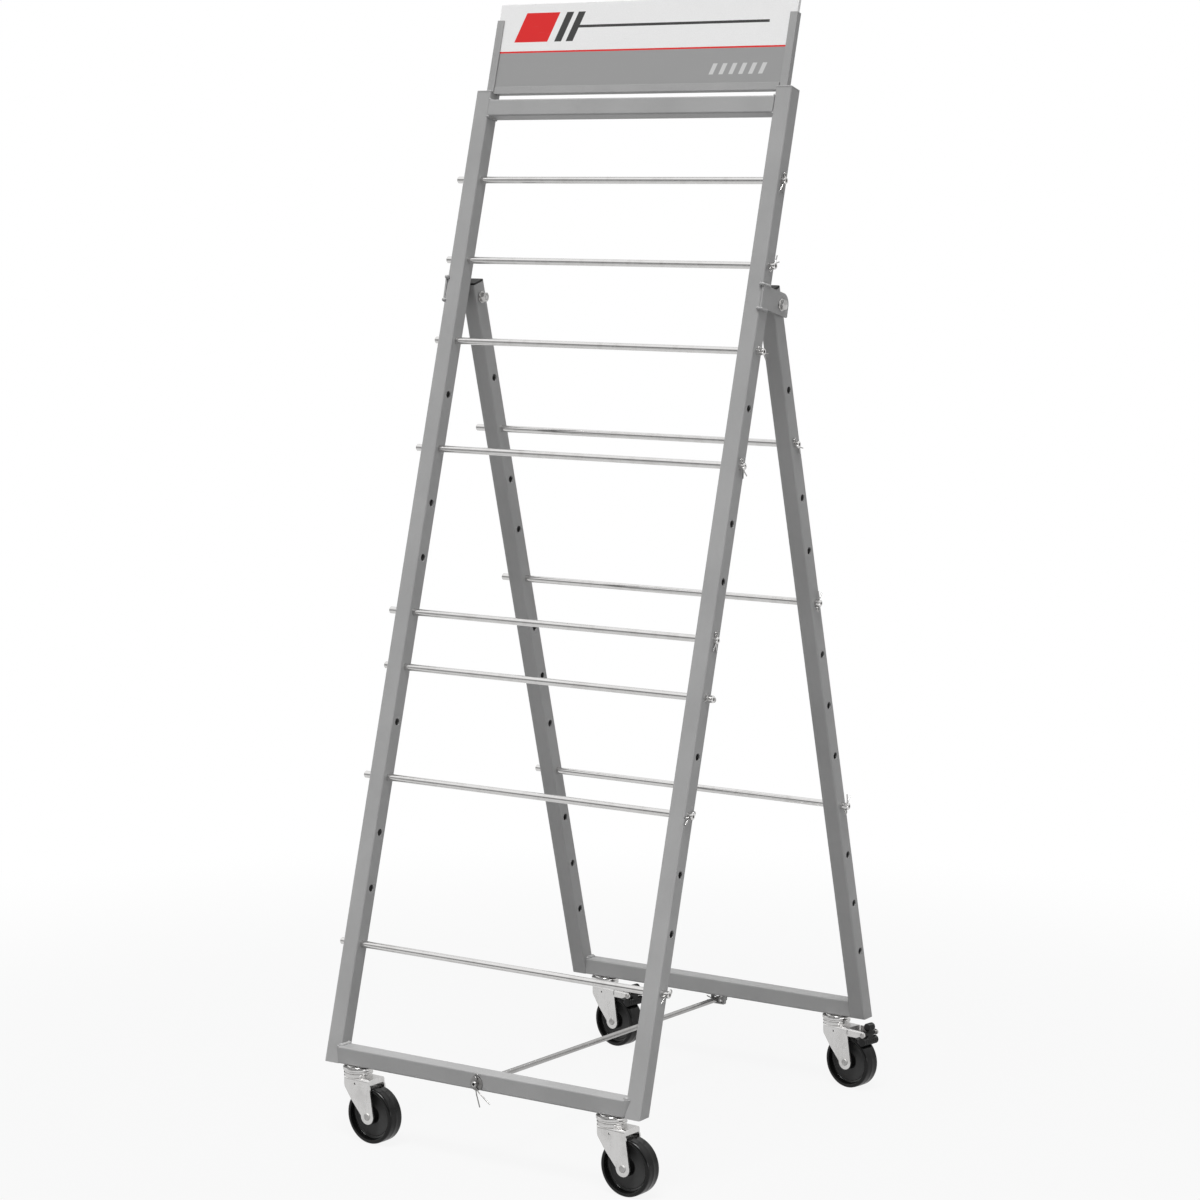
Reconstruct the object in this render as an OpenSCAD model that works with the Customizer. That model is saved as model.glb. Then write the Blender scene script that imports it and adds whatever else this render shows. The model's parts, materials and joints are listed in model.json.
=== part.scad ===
// Carrier frame on castors: a leaning front frame with hanging rods, a hinged rear frame,
// a tie rod between the two bottom rails and a sign holder on top. Millimetres and degrees.
// +X is the width, +Y runs from the front frame to the rear frame, +Z is up from the floor.

/* [Frame] */
// Width over the front uprights
frame_w = 528; // [440:1:640]
// Side of the square tube
tube = 25; // [22:0.5:30]
// Wall of the square tube
tube_wall = 2; // [1.5:0.1:2.5]
// Outer corner radius of the square tube
tube_round = 2.5; // [1.5:0.1:3.5]
// Length of a front upright along its slope
upright_l = 1420; // [1380:1:1600]
// Backward lean of the front frame in degrees
front_lean = 15; // [13:0.5:17]
// Forward lean of the rear frame in degrees
rear_lean = 16; // [14:0.5:18]
// Distance of the top rail below the ends of the uprights
top_rail_drop = 11; // [4:0.5:24]
// Thickness of the caps on the uprights
cap_t = 2.5; // [1.5:0.1:4]
// Thickness of the plugs in the rear legs
plug_t = 3; // [2:0.1:5]

/* [Rods and holes] */
// Diameter of a hanging rod
rod_d = 10; // [8:0.1:12]
// Radial clearance of a rod in its hole
rod_gap = 0.2; // [0.1:0.05:0.4]
// Length of rod outside the right tube when its split pin lies against that tube
rod_out = 5.5; // [5:0.5:24]
// Length of rod outside the left tube then
rod_tail = 17.5; // [12:0.5:24]
// Diameter of the bore in the right end of a rod
rod_bore = 4.4; // [3:0.1:5]
// Depth of the bore in the right end of a rod
rod_bore_l = 12; // [8:0.5:20]
// Pitch of the hole rows
hole_pitch = 80; // [70:0.5:84]
// Height of the lowest front hole along the upright
front_first = 171; // [140:1:190]
// Height of the lowest rear hole along the leg
rear_first = 110; // [80:1:140]

/* [Split pins] */
// Diameter of the closed shank of a split pin
pin_d = 2.4; // [2:0.1:3]
// Radial clearance of a split pin in its rod
pin_gap = 0.2; // [0.1:0.05:0.3]
// Length of the spread legs of a split pin
pin_leg = 13; // [8:0.5:18]
// Mean radius of the eye of a split pin
pin_eye = 2.8; // [2.4:0.1:4]
// Half angle between the spread legs in degrees
pin_spread = 22; // [10:1:35]
// Length of the legs of the split pin in front of the front rail
tie_pin_leg = 32; // [20:0.5:40]
// Half angle between the legs of that pin in degrees
tie_pin_spread = 17; // [8:1:25]

/* [Hinge] */
// Distance of the hinge bolt behind the front face of the upright
hinge_back = 53; // [48:0.5:62]
// Diameter of the hinge bolt
bolt_d = 8; // [6:0.1:10]
// Thickness of the hinge plate
plate_t = 3; // [2:0.1:5]
// Height of the hinge plate
plate_h = 32; // [29:0.5:50]
// Radius of the upper back corner of the hinge plate
plate_nose = 16; // [6:0.5:16]
// Radius of its other corners
plate_round = 2; // [1:0.5:6]
// Height of the middle of the hinge plate above the hinge bolt
plate_rise = 1.5; // [0:0.5:3]
// Upward tilt of the hinge plate against the upright in degrees
plate_tilt = 2.5; // [0:0.5:12]
// Thickness of the hinge washers
washer_t = 1.6; // [1:0.1:2.5]
// Outer diameter of the hinge washers
washer_d = 17; // [15:0.5:22]
// Width of the bolt head and the nut over flats
hex_w = 13; // [11:0.1:17]
// Height of the bolt head
head_t = 5.5; // [4:0.1:8]
// Height of the nut
nut_t = 7; // [5:0.1:10]

/* [Tie rod] */
// Diameter of the tie rod
tie_d = 8; // [7:0.1:9]
// Diameter of the loose hole in the front bottom rail
tie_hole = 16.4; // [15:0.1:17]
// Drop of the tie rod below the middle of its front hole
tie_sag = 3.2; // [2:0.1:3.6]
// Drop of the tie rod below the rear bottom rail
tie_drop = 8; // [7:0.1:10]
// Length of the tie rod in front of the front rail
tie_out = 8; // [7:0.5:20]
// Diameter of the bore in the front end of the tie rod
tie_bore = 4.4; // [3:0.1:5]
// Depth of the bore in the front end of the tie rod
tie_bore_l = 8; // [4:0.5:10]
// Outer diameter of the washer in front of the front rail
tie_washer_d = 20; // [18:0.5:24]
// Thickness of that washer
tie_washer_t = 1.2; // [1:0.1:1.6]
// Thickness of the saddle strap
strap_t = 2.5; // [2:0.1:4]
// Width of the saddle strap
strap_w = 8; // [6:0.5:10]
// Inner width of the saddle
strap_in = 18; // [14:0.5:26]
// Length of a foot of the saddle
strap_foot = 9; // [6:0.5:14]
// Gap between the tie rod and the bottom of the saddle
strap_gap = 0.9; // [0.8:0.05:1]

/* [Sign holder] */
// Width of a side post
post_w = 12; // [10:0.5:16]
// Depth of the posts and of the sill
post_depth = 10; // [9:0.5:14]
// Wall of the posts and of the sill
post_wall = 1.5; // [1:0.1:2]
// Height of the side posts
post_h = 108; // [80:1:125]
// Distance of a post from the outer face of its upright
post_inset = 12; // [6:0.5:12.5]
// Height of the front lip of the sill
sill_h = 11; // [8:0.5:16]
// Distance of the sill below the ends of the uprights
sill_drop = 1; // [0.5:0.1:3]
// Height of the sign panel
panel_h = 132; // [110:1:160]
// Thickness of the sign panel
panel_t = 6; // [4:0.1:6.4]
// Clearance of the panel at its edges and at its seat
panel_gap = 0.3; // [0.2:0.05:0.5]

/* [Castors] */
// Height from the floor to the bottom rails
castor_h = 107; // [104:0.5:120]
// Distance of a front castor from the outer face of its upright
front_castor_in = 51; // [51:1:124]
// Distance of a rear castor from the outer face of its leg
rear_castor_in = 54; // [52:1:122]
// Turn of the front castors at rest in degrees
front_turn = -4; // [-40:1:40]
// Turn of the rear castors at rest in degrees
rear_turn = -11; // [-40:1:40]
// Diameter of a wheel
wheel_d = 80; // [72:0.5:82]
// Width of the tread
wheel_w = 26; // [20:0.5:28]
// Corner radius of the tread
tread_round = 3.5; // [2:0.5:8]
// Thickness of the rim
rim_t = 6; // [5:0.5:14]
// Thickness of the web
web_t = 9; // [6:0.5:14]
// Radius of the hub
hub_r = 11; // [9:0.5:14]
// Width of the hub
hub_w = 28; // [28:0.2:30]
// Offset of the axle from the swivel axis
trail = 30.5; // [30:0.5:36]
// Diameter of the axle
axle_d = 8; // [6:0.1:10]
// Thickness of the fork sheet
sheet = 2.5; // [2:0.1:3]
// Clearance between the hub and the fork on each side
hub_gap = 0.6; // [0.4:0.05:1]
// Radius of the swivel head
head_r = 22; // [19:0.5:25]
// Height of the swivel head
head_h = 7; // [6:0.1:8]
// Diameter of the hole in each leg of a fork
fork_hole_d = 3; // [2:0.1:4]
// Height of the lower race on the fork
race_h = 7; // [3:0.1:8]
// Diameter of the king pin
king_d = 10; // [8:0.1:12]
// Radial running clearance of the king pin, the axles and the hinge bolt
run_gap = 0.05; // [0.02:0.01:0.1]
// Clearance between flat faces that turn on each other
flat_gap = 0.4; // [0.3:0.05:0.5]
// Diameter of the stem in the rail
stem_d = 10; // [8:0.1:12]
// Length of the stem in the rail
stem_l = 14; // [12:0.5:16]

/* [Brake] */
// Distance of the pedal pin from the swivel axis
pedal_x = 63; // [56:0.5:64]
// Depth of the pedal pin below the rail
pedal_z = 19.5; // [19:0.5:24]
// Diameter of the pedal pin
pedal_pin_d = 4; // [3:0.1:5]
// Radius of the ears round the pedal pin
ear_r = 4.5; // [4.2:0.1:7]
// Radius of the upper lobe
upper_lobe_r = 6; // [5:0.1:7.5]
// Radius of the lower lobe
lower_lobe_r = 6.5; // [6:0.1:8]
// Width of the upper lobe
upper_lobe_w = 15; // [12:0.5:22]
// Width of the lower lobe
lower_lobe_w = 34; // [18:0.5:36]

/* [Hidden] */
$fn = 64;
overrun = 2;
half_w = frame_w / 2;
rear_half = half_w - washer_t - flat_gap;
base_z = castor_h;
front_castor_x = half_w - front_castor_in;
rear_castor_x = rear_half - rear_castor_in;
// Lengths that the hole rows and the castors are given for; both stretch with the real ones
upright_std = 1420;
castor_std = 107;
row_share = upright_l / upright_std;
castor_share = castor_h / castor_std;
rod_hole = rod_d + 2 * rod_gap;
rod_l = frame_w + rod_out + rod_tail;
rod_chamfer = rod_d / 10;
// Places of the rods and the spare holes, counted in hole pitches from the lowest hole
front_rod_shares = [14, 12.5, 11, 9, 6, 5, 3, 0];
front_spare_shares = [10, 8, 7, 4, 2, 1];
rear_rod_shares = [10, 7, 3];
rear_spare_shares = [11, 9, 8, 6, 5, 4, 2, 1, 0];
hinge_share = 11.94;
// Turn of each split pin about its rod, in degrees
front_pin_turns = [-5, 140, 75, 35, 5, -90, -60, -62];
rear_pin_turns = [35, 150, 145];
// How far each rod has slid to the right, in rod diameters
front_slide_shares = [0.07, 0.37, 0.55, 0.2, 0, 0.63, 0.12, 0.54];
rear_slide_shares = [0.05, 0.29, 0.7];
pin_end = rod_out - pin_d / 2 - flat_gap;
pin_x = half_w + pin_d / 2 + flat_gap;
rear_pin_x = rear_half + pin_d / 2 + flat_gap;
pin_hole = pin_d + 2 * pin_gap;
wire_share = 0.7;
pin_wire = pin_d * wire_share;
// Hinge bolt and the rear leg that hangs on it
hinge_v = (front_first + hinge_share * hole_pitch) * row_share;
hinge_y = hinge_v * sin(front_lean) + hinge_back * cos(front_lean);
hinge_z = hinge_v * cos(front_lean) - hinge_back * sin(front_lean);
leg_hinge_v = (hinge_z - tube / 2 * sin(rear_lean)) / cos(rear_lean);
leg_top_share = 0.86;
leg_l = leg_hinge_v + tube * leg_top_share;
rear_off = hinge_y - tube / 2 * cos(rear_lean) + leg_hinge_v * sin(rear_lean);
plate_back_share = 0.65;
plate_l = hinge_back + plate_h * plate_back_share;
bolt_l = plate_t + washer_t * 2 + flat_gap * 2 + tube + nut_t + bolt_d / 4;
// Castor levels, downward from the rail, for a castor of the standard height
race_z = head_h + flat_gap;
crown_z = race_z + race_h;
crown_low = crown_z + sheet;
rivet_z = crown_low + flat_gap;
rivet_t = 3;
rivet_share = 0.8;
rivet_r = king_d * rivet_share;
wheel_r = wheel_d / 2;
axle_z = castor_std - wheel_r;
fork_in = hub_w + 2 * hub_gap;
fork_out = fork_in + 2 * sheet;
bend_share = 1.8;
fork_bend = sheet * bend_share;
back_share = 0.93;
fork_back = head_r * back_share;
nose_share = 1.2;
fork_nose = trail + sheet * nose_share;
lip_share = 3.2;
nose_h = sheet * lip_share;
leg_drop_share = 1.35;
leg_bulge_shares = [0.55, 0.6];
flange_shares = [0.5, 0.75];
leg_nose = trail + sheet * bend_share;
boss_share = 1.4;
boss_r = axle_d * boss_share;
axle_gap = 0.1;
axle_head_t = 1.6;
axle_head_share = 0.68;
axle_head_r = axle_d * axle_head_share;
head_round_share = 0.3;
head_round = head_h * head_round_share;
bush_share = 0.35;
bush_t = head_h * bush_share;
nut_wall = 3.5;
stem_gap = 0.25;
// Hole in a fork leg, and the lower edge of an ear from the leg to the pedal pin
fork_hole = [8, 23];
ear_drop = pedal_z + ear_r;
ear_back_shares = [0.67, 2.45];
ear_low_shares = [1, 2.4, 2.6];
upper_lobe = [0.5, 10];
lower_lobe = [-1, -11.5];
pedal_hub_r = ear_r - sheet / 5;
neck_t = 5;
neck_share = 0.6;
pin_head_shares = [0.9, 0.33];
// Middle of the floor plan, so that the origin lies under the middle of the part
front_reach = max((trail * sin(-front_turn) + wheel_r * sin(abs(front_turn))
    + wheel_w / 2 * cos(front_turn)) * castor_share, head_r * castor_share) - tube / 2;
rear_reach = tube / 2 + head_r * castor_share;
front_y = -(rear_off + rear_reach - front_reach) / 2;
rear_y = front_y + rear_off;
// Tie rod, from the saddle under the rear rail to the hole in the front rail
tie_rear = [rear_y + tube / 2, base_z - tie_drop];
tie_front = [front_y + tube / 2, base_z + tube / 2 - tie_sag];
tie_span = tie_rear[0] - tie_front[0];
tie_rise = atan2(tie_front[1] - tie_rear[1], tie_span);
tie_run = tie_span / cos(tie_rise);
tail_share = 2.5;
tie_tail = strap_w / 2 + pin_d * tail_share + tie_d;
strap_depth = tie_drop + tie_d / 2 + strap_gap;
tie_pin_step = strap_w / 2 + pin_d + flat_gap * 3;
panel_w = frame_w - 2 * (post_inset + post_wall + panel_gap);
post_y = (tube - post_depth) / 2;
level_l = 3 * tube;

steel = [0.62, 0.63, 0.64];
zinc = [0.78, 0.79, 0.80];
black = [0.08, 0.08, 0.09];
paper = [0.93, 0.93, 0.93];

// Places: x stays, y becomes the depth of the frame and z runs up its slope
module in_front_frame() {
    translate([0, front_y, base_z]) rotate([-front_lean, 0, 0]) children();
}

module in_rear_frame() {
    translate([0, rear_y, base_z]) rotate([rear_lean, 0, 0]) children();
}

module at_castor(x, y) {
    translate([x, y + tube / 2, base_z]) rotate([0, 0, y == front_y ? front_turn : rear_turn])
        scale(castor_share) children();
}

// Turns a shape drawn in x and y into the x and z plane, extruded along y about its middle
module across(width) {
    translate([0, width / 2, 0]) rotate([90, 0, 0]) linear_extrude(width) children();
}

// Shared shapes
module round_square(size, r) {
    translate([r, 0]) square([size[0] - 2 * r, size[1]]);
    translate([0, r]) square([size[0], size[1] - 2 * r]);
    for (x = [r, size[0] - r], y = [r, size[1] - r]) translate([x, y]) circle(r);
}

module tube_profile() {
    difference() {
        round_square([tube, tube], tube_round);
        translate([tube_wall, tube_wall]) square(tube - 2 * tube_wall);
    }
}

module rail(length) {
    translate([-length / 2, 0, 0]) rotate([90, 0, 90]) linear_extrude(length) tube_profile();
}

// A rail whose ends are closed where they stand clear of the leaning tubes
module closed_rail(length) {
    rail(length);
    for (x = [-length / 2, length / 2 - tube_wall]) translate([x, tube_wall / 2, tube_wall / 2])
        cube([tube_wall, tube - tube_wall, tube - tube_wall]);
}

module hole_x(x, y, z, d, length) {
    translate([x, y, z]) rotate([0, 90, 0]) cylinder(d = d, h = length);
}

// A leaning tube with its row of holes; its lower end is cut level with the floor
module pierced_post(x, length, places) {
    difference() {
        translate([x, 0, -tube]) linear_extrude(length + tube) tube_profile();
        for (p = places) hole_x(x - overrun, tube / 2, p, rod_hole, tube + 2 * overrun);
    }
}

module below_rails(y) {
    translate([-frame_w, y - level_l, base_z - level_l])
        cube([2 * frame_w, 3 * level_l, level_l]);
}

function places(first, shares) = [for (s = shares) (first + s * hole_pitch) * row_share];
front_rods = places(front_first, front_rod_shares);
front_spares = places(front_first, front_spare_shares);
rear_rods = places(rear_first, rear_rod_shares);
rear_spares = places(rear_first, rear_spare_shares);

module upright(x) {
    color(steel) difference() {
        in_front_frame() pierced_post(x, upright_l, concat(front_rods, front_spares));
        below_rails(front_y);
    }
}

module rear_leg(x) {
    color(steel) difference() {
        in_rear_frame() difference() {
            pierced_post(x, leg_l, concat(rear_rods, rear_spares));
            hole_x(x - overrun, tube / 2, leg_hinge_v, bolt_d + 2 * run_gap, tube + 2 * overrun);
        }
        below_rails(rear_y);
    }
}

// Hanging rods
module bar(d, length, chamfer) {
    r = d / 2;
    rotate([0, 90, 0]) rotate_extrude() polygon([[0, 0], [r - chamfer, 0], [r, chamfer],
        [r, length - chamfer], [r - chamfer, length], [0, length]]);
}

module hanging_rod(x_pin, turn) {
    color(zinc) translate([x_pin, 0, 0]) difference() {
        translate([pin_end - rod_l, 0, 0]) bar(rod_d, rod_l, rod_chamfer);
        rotate([turn, 0, 0]) cylinder(d = pin_hole, h = 2 * rod_d, center = true);
        hole_x(pin_end - rod_bore_l, 0, 0, rod_bore, rod_bore_l + overrun);
    }
}

module front_rod(i) {
    in_front_frame() translate([0, tube / 2, front_rods[i]])
        hanging_rod(pin_x + rod_d * front_slide_shares[i], front_pin_turns[i]);
}

module rear_rod(i) {
    in_rear_frame() translate([0, tube / 2, rear_rods[i]])
        hanging_rod(rear_pin_x + rod_d * rear_slide_shares[i], rear_pin_turns[i]);
}

// Split pin through a rod of diameter d that lies along x: eye above, spread legs below
module split_pin(d, leg = pin_leg, spread = pin_spread) {
    reach = d / 2 + pin_wire / 2;
    cylinder(d = pin_d, h = 2 * reach, center = true);
    translate([0, 0, reach + pin_eye]) rotate([0, 90, 0])
        rotate_extrude() translate([pin_eye, 0]) circle(d = pin_wire);
    for (s = [-1, 1]) translate([0, 0, -d / 2]) rotate([180 + s * spread, 0, 0])
        cylinder(d = pin_wire, h = leg);
}

module front_split_pins() {
    color(zinc) for (i = [0 : len(front_rods) - 1])
        in_front_frame() translate([pin_x + rod_d * front_slide_shares[i], tube / 2, front_rods[i]])
            rotate([front_pin_turns[i], 0, 0]) split_pin(rod_d);
}

module rear_split_pins() {
    color(zinc) for (i = [0 : len(rear_rods) - 1])
        in_rear_frame() translate([rear_pin_x + rod_d * rear_slide_shares[i], tube / 2, rear_rods[i]])
            rotate([rear_pin_turns[i], 0, 0]) split_pin(rod_d);
}

// Rails and caps
module front_top_rail() {
    color(steel) in_front_frame() translate([0, 0, upright_l - top_rail_drop - tube])
        rail(frame_w - 2 * tube);
}

module stem_hole(x, y) {
    translate([x, y + tube / 2, base_z - overrun])
        cylinder(d = (stem_d + 2 * stem_gap) * castor_share, h = tube_wall + 2 * overrun);
}

module front_bottom_rail() {
    color(steel) difference() {
        translate([0, front_y, base_z]) closed_rail(frame_w - 2 * tube);
        for (s = [-1, 1]) stem_hole(s * front_castor_x, front_y);
        translate([0, front_y - overrun, base_z + tube / 2]) rotate([-90, 0, 0])
            cylinder(d = tie_hole, h = tube + 2 * overrun);
    }
}

module rear_bottom_rail() {
    color(steel) difference() {
        translate([0, rear_y, base_z]) closed_rail(2 * (rear_half - tube));
        for (s = [-1, 1]) stem_hole(s * rear_castor_x, rear_y);
    }
}

module upright_caps() {
    color(steel) in_front_frame() for (x = [-half_w, half_w - tube])
        translate([x, 0, upright_l]) linear_extrude(cap_t)
            round_square([tube, tube], tube_round);
}

module rear_leg_plugs() {
    color(black) in_rear_frame() for (x = [-rear_half, rear_half - tube])
        translate([x, 0, leg_l]) linear_extrude(plug_t) round_square([tube, tube], tube_round);
}

// Hinge
module plate_outline() {
    difference() {
        hull() {
            for (v = [plate_round, plate_h - plate_round]) translate([plate_round, v]) circle(plate_round);
            translate([plate_l - plate_round, plate_round]) circle(plate_round);
            translate([plate_l - plate_nose, plate_h - plate_nose]) circle(plate_nose);
        }
        translate([hinge_back, plate_h / 2 - plate_rise]) circle(d = bolt_d + 2 * rod_gap);
    }
}

module hinge_plate(side) {
    color(steel) in_front_frame() translate([side > 0 ? half_w : -half_w - plate_t, 0, hinge_v])
        rotate([plate_tilt, 0, 0])
            translate([0, hinge_back * (cos(plate_tilt) - 1), -hinge_back * sin(plate_tilt)])
                translate([0, 0, plate_rise - plate_h / 2])
                    rotate([90, 0, 90]) linear_extrude(plate_t) plate_outline();
}

// Stands a ring, hexagon or shank on the hinge axis of one side, measured outward from the plate
module on_hinge(side, out) {
    in_front_frame() translate([side * (half_w + out), hinge_back, hinge_v])
        rotate([0, side * 90, 0]) children();
}

module washer() {
    difference() {
        cylinder(d = washer_d, h = washer_t);
        translate([0, 0, -overrun]) cylinder(d = bolt_d + 2 * rod_gap, h = washer_t + 2 * overrun);
    }
}

module hinge_bolts() {
    color(zinc) for (s = [-1, 1]) {
        on_hinge(s, plate_t + washer_t) cylinder(d = hex_w / cos(30), h = head_t, $fn = 6);
        on_hinge(s, plate_t + washer_t - bolt_l) cylinder(d = bolt_d, h = bolt_l);
    }
}

module hinge_washers() {
    color(zinc) for (s = [-1, 1]) {
        on_hinge(s, plate_t) washer();
        on_hinge(s, -washer_t) washer();
        on_hinge(s, -2 * washer_t - 2 * flat_gap - tube) washer();
    }
}

module hinge_nuts() {
    color(zinc) for (s = [-1, 1])
        on_hinge(s, -2 * washer_t - 2 * flat_gap - tube - nut_t) difference() {
            cylinder(d = hex_w / cos(30), h = nut_t, $fn = 6);
            translate([0, 0, -overrun])
                cylinder(d = bolt_d + 2 * run_gap, h = nut_t + 2 * overrun);
        }
}

// Sign holder
module sign_post(side) {
    color(steel) in_front_frame() translate([side * (half_w - post_inset), post_y, upright_l + cap_t])
        mirror([side > 0 ? 1 : 0, 0, 0]) linear_extrude(post_h) difference() {
            square([post_w, post_depth]);
            translate([post_wall, post_wall])
                square([post_w + overrun, post_depth - 2 * post_wall]);
        }
}

module sign_sill() {
    color(steel) in_front_frame() translate([-half_w + tube, post_y, upright_l - sill_drop])
        rotate([90, 0, 90]) linear_extrude(frame_w - 2 * tube) difference() {
            square([post_depth, sill_h]);
            translate([post_wall, post_wall])
                square([post_depth - 2 * post_wall, sill_h + overrun]);
        }
}

module sign_panel() {
    color(paper) in_front_frame()
        translate([-panel_w / 2, (tube - panel_t) / 2, upright_l + cap_t + panel_gap])
            cube([panel_w, panel_t, panel_h]);
}

// Castors, drawn with the swivel axis on z and the rail's underside at zero
module castor_head(x, y) {
    r = head_r;
    color(zinc) at_castor(x, y) rotate_extrude() polygon([[0, stem_l], [stem_d / 2, stem_l],
        [stem_d / 2, 0], [r - head_round, 0], [r, -head_round], [r, -head_h + bush_t],
        [r - bush_t, -head_h], [king_d / 2, -head_h], [king_d / 2, -rivet_z],
        [rivet_r, -rivet_z], [rivet_r, -rivet_z - rivet_t / 2],
        [rivet_r - rivet_t / 2, -rivet_z - rivet_t], [0, -rivet_z - rivet_t]]);
}

module castor_nut(x, y) {
    inner = tube_wall / castor_share;
    at_castor(x, y) translate([0, 0, inner]) difference() {
        cylinder(d = stem_d + 2 * (stem_gap + nut_wall), h = stem_l - inner, $fn = 6);
        translate([0, 0, -overrun])
            cylinder(d = stem_d + 2 * rod_gap, h = stem_l + 2 * overrun);
    }
}

module front_castor_nuts() {
    color(zinc) for (s = [-1, 1]) castor_nut(s * front_castor_x, front_y);
}

module rear_castor_nuts() {
    color(zinc) for (s = [-1, 1]) castor_nut(s * rear_castor_x, rear_y);
}

// The rear edge of a fork leg bulges out a little on its way from the crown to the axle
leg_bulge = [-fork_back + (trail - boss_r + fork_back) * leg_bulge_shares[0],
    -crown_low - (axle_z - crown_low) * leg_bulge_shares[1]];

// Side view of a fork: crown and nose above, legs narrowing to the axle
module fork_side(braked) {
    polygon([[-fork_back, -crown_z], [fork_nose, -crown_z], [fork_nose, -crown_z - nose_h],
        [leg_nose, -crown_z - nose_h * leg_drop_share], [trail + boss_r, -axle_z],
        [trail - boss_r, -axle_z], leg_bulge, [-fork_back, -crown_low]]);
    translate([trail, -axle_z]) circle(boss_r);
    if (braked) {
        polygon([[leg_nose, -crown_z], [pedal_x, -crown_z], [pedal_x + ear_r, -pedal_z],
            [pedal_x - ear_r * ear_back_shares[0], -pedal_z - sheet * ear_low_shares[0]],
            [pedal_x - ear_r * ear_back_shares[1], -pedal_z - sheet * ear_low_shares[1]],
            [leg_nose, -pedal_z - sheet * ear_low_shares[2]]]);
        translate([pedal_x, -pedal_z]) circle(ear_r);
    }
}

// End view of a fork: a bent channel with rounded shoulders
module fork_channel() {
    height = castor_std;
    difference() {
        translate([-fork_out / 2, -height - crown_z])
            round_square([fork_out, height], fork_bend);
        translate([-fork_in / 2, -height - crown_low - overrun])
            round_square([fork_in, height + overrun], fork_bend - sheet);
    }
}

// Plan of a fork: round about the swivel axis behind and straight towards the nose
module fork_plan(reach) {
    circle(fork_back);
    translate([0, -fork_out]) square([reach, 2 * fork_out]);
}

module fork(x, y, braked = false) {
    reach = pedal_x + ear_r + trail;
    flange_w = fork_in + sheet * flange_shares[0];
    color(zinc) at_castor(x, y) difference() {
        union() {
            intersection() {
                across(fork_out) fork_side(braked);
                translate([-reach, 0, 0]) rotate([90, 0, 90]) linear_extrude(2 * reach)
                    fork_channel();
                translate([0, 0, -castor_std]) linear_extrude(castor_std) fork_plan(reach);
            }
            translate([fork_nose - sheet, -flange_w / 2, -crown_z - nose_h])
                cube([sheet, flange_w, nose_h - sheet * flange_shares[1]]);
            translate([0, 0, -crown_z]) cylinder(r = head_r - bush_t, h = race_h);
        }
        translate([0, 0, -crown_low - overrun])
            cylinder(d = king_d + 2 * run_gap, h = crown_low + 2 * overrun);
        translate([trail, fork_out / 2 + overrun, -axle_z]) rotate([90, 0, 0])
            cylinder(d = axle_d + 2 * axle_gap, h = fork_out + 2 * overrun);
        translate([fork_hole[0], fork_out / 2 + overrun, -fork_hole[1]]) rotate([90, 0, 0])
            cylinder(d = fork_hole_d, h = fork_out + 2 * overrun);
        if (braked) {
            translate([pedal_x, fork_out / 2 + overrun, -pedal_z]) rotate([90, 0, 0])
                cylinder(d = pedal_pin_d + 2 * axle_gap, h = fork_out + 2 * overrun);
            translate([fork_nose, -fork_in / 2, -ear_drop])
                cube([2 * ear_r + pedal_x - fork_nose, fork_in, ear_drop]);
        }
    }
}

// A riveted pin across a fork, with a head outside each leg
module rivet(d, head, thick) {
    l = fork_out / 2;
    rotate([90, 0, 0]) rotate_extrude() polygon([[0, -l - thick], [head - thick / 2, -l - thick],
        [head, -l - thick / 2], [head, -l], [d / 2, -l], [d / 2, l], [head, l],
        [head, l + thick / 2], [head - thick / 2, l + thick], [0, l + thick]]);
}

module axle(x, y) {
    color(zinc) at_castor(x, y) translate([trail, 0, -axle_z])
        rivet(axle_d, axle_head_r, axle_head_t);
}

module pedal_pin(x, y) {
    color(zinc) at_castor(x, y) translate([pedal_x, 0, -pedal_z])
        rivet(pedal_pin_d, pedal_pin_d * pin_head_shares[0], pedal_pin_d * pin_head_shares[1]);
}

module wheel(x, y) {
    bore = axle_d / 2 + run_gap;
    color(black) at_castor(x, y) translate([trail, 0, -axle_z]) rotate([90, 0, 0])
        rotate_extrude() {
            intersection() {
                translate([-wheel_r, -wheel_w / 2])
                    round_square([2 * wheel_r, wheel_w], tread_round);
                translate([wheel_r - rim_t, -wheel_w / 2]) square([rim_t, wheel_w]);
            }
            translate([hub_r - web_t / 4, -web_t / 2])
                square([wheel_r - rim_t - hub_r + web_t / 2, web_t]);
            translate([bore, -hub_w / 2]) square([hub_r - bore, hub_w]);
        }
}

// Rocker pedal of a brake: a hub on its pin and two lobes
module pedal_lobe(at, r, width) {
    across(width) translate(at) circle(r);
    across(min(width, fork_in - 4 * hub_gap) * neck_share) polygon([[-neck_t / 2, -neck_t / 2],
        [at[0], at[1] - neck_t / 2], [at[0], at[1] + neck_t / 2], [-neck_t / 2, neck_t / 2]]);
}

module pedal(x, y) {
    color(black) at_castor(x, y) translate([pedal_x, 0, -pedal_z]) difference() {
        union() {
            across(fork_in - 2 * hub_gap) circle(pedal_hub_r);
            pedal_lobe(upper_lobe, upper_lobe_r, upper_lobe_w);
            pedal_lobe(lower_lobe, lower_lobe_r, lower_lobe_w);
        }
        across(fork_out) circle(d = pedal_pin_d + 2 * run_gap);
    }
}

// Tie rod, drawn from the saddle forward along its own axis
module along_tie() {
    translate([0, tie_rear[0], tie_rear[1]]) rotate([-tie_rise, 0, 0]) children();
}

// The two pins at the saddle lie level and the one in front of the front rail hangs down
saddle_pins = [-tie_pin_step, tie_pin_step];
tie_washer_y = -tie_run - tube / 2 - flat_gap - tie_washer_t;
front_pin = tie_washer_y - pin_d / 2 - pin_gap;
front_pin_lean = -30;

module across_tie(place, turn) {
    translate([0, place, 0]) rotate([0, turn, 0]) rotate([0, 0, 90]) children();
}

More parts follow.
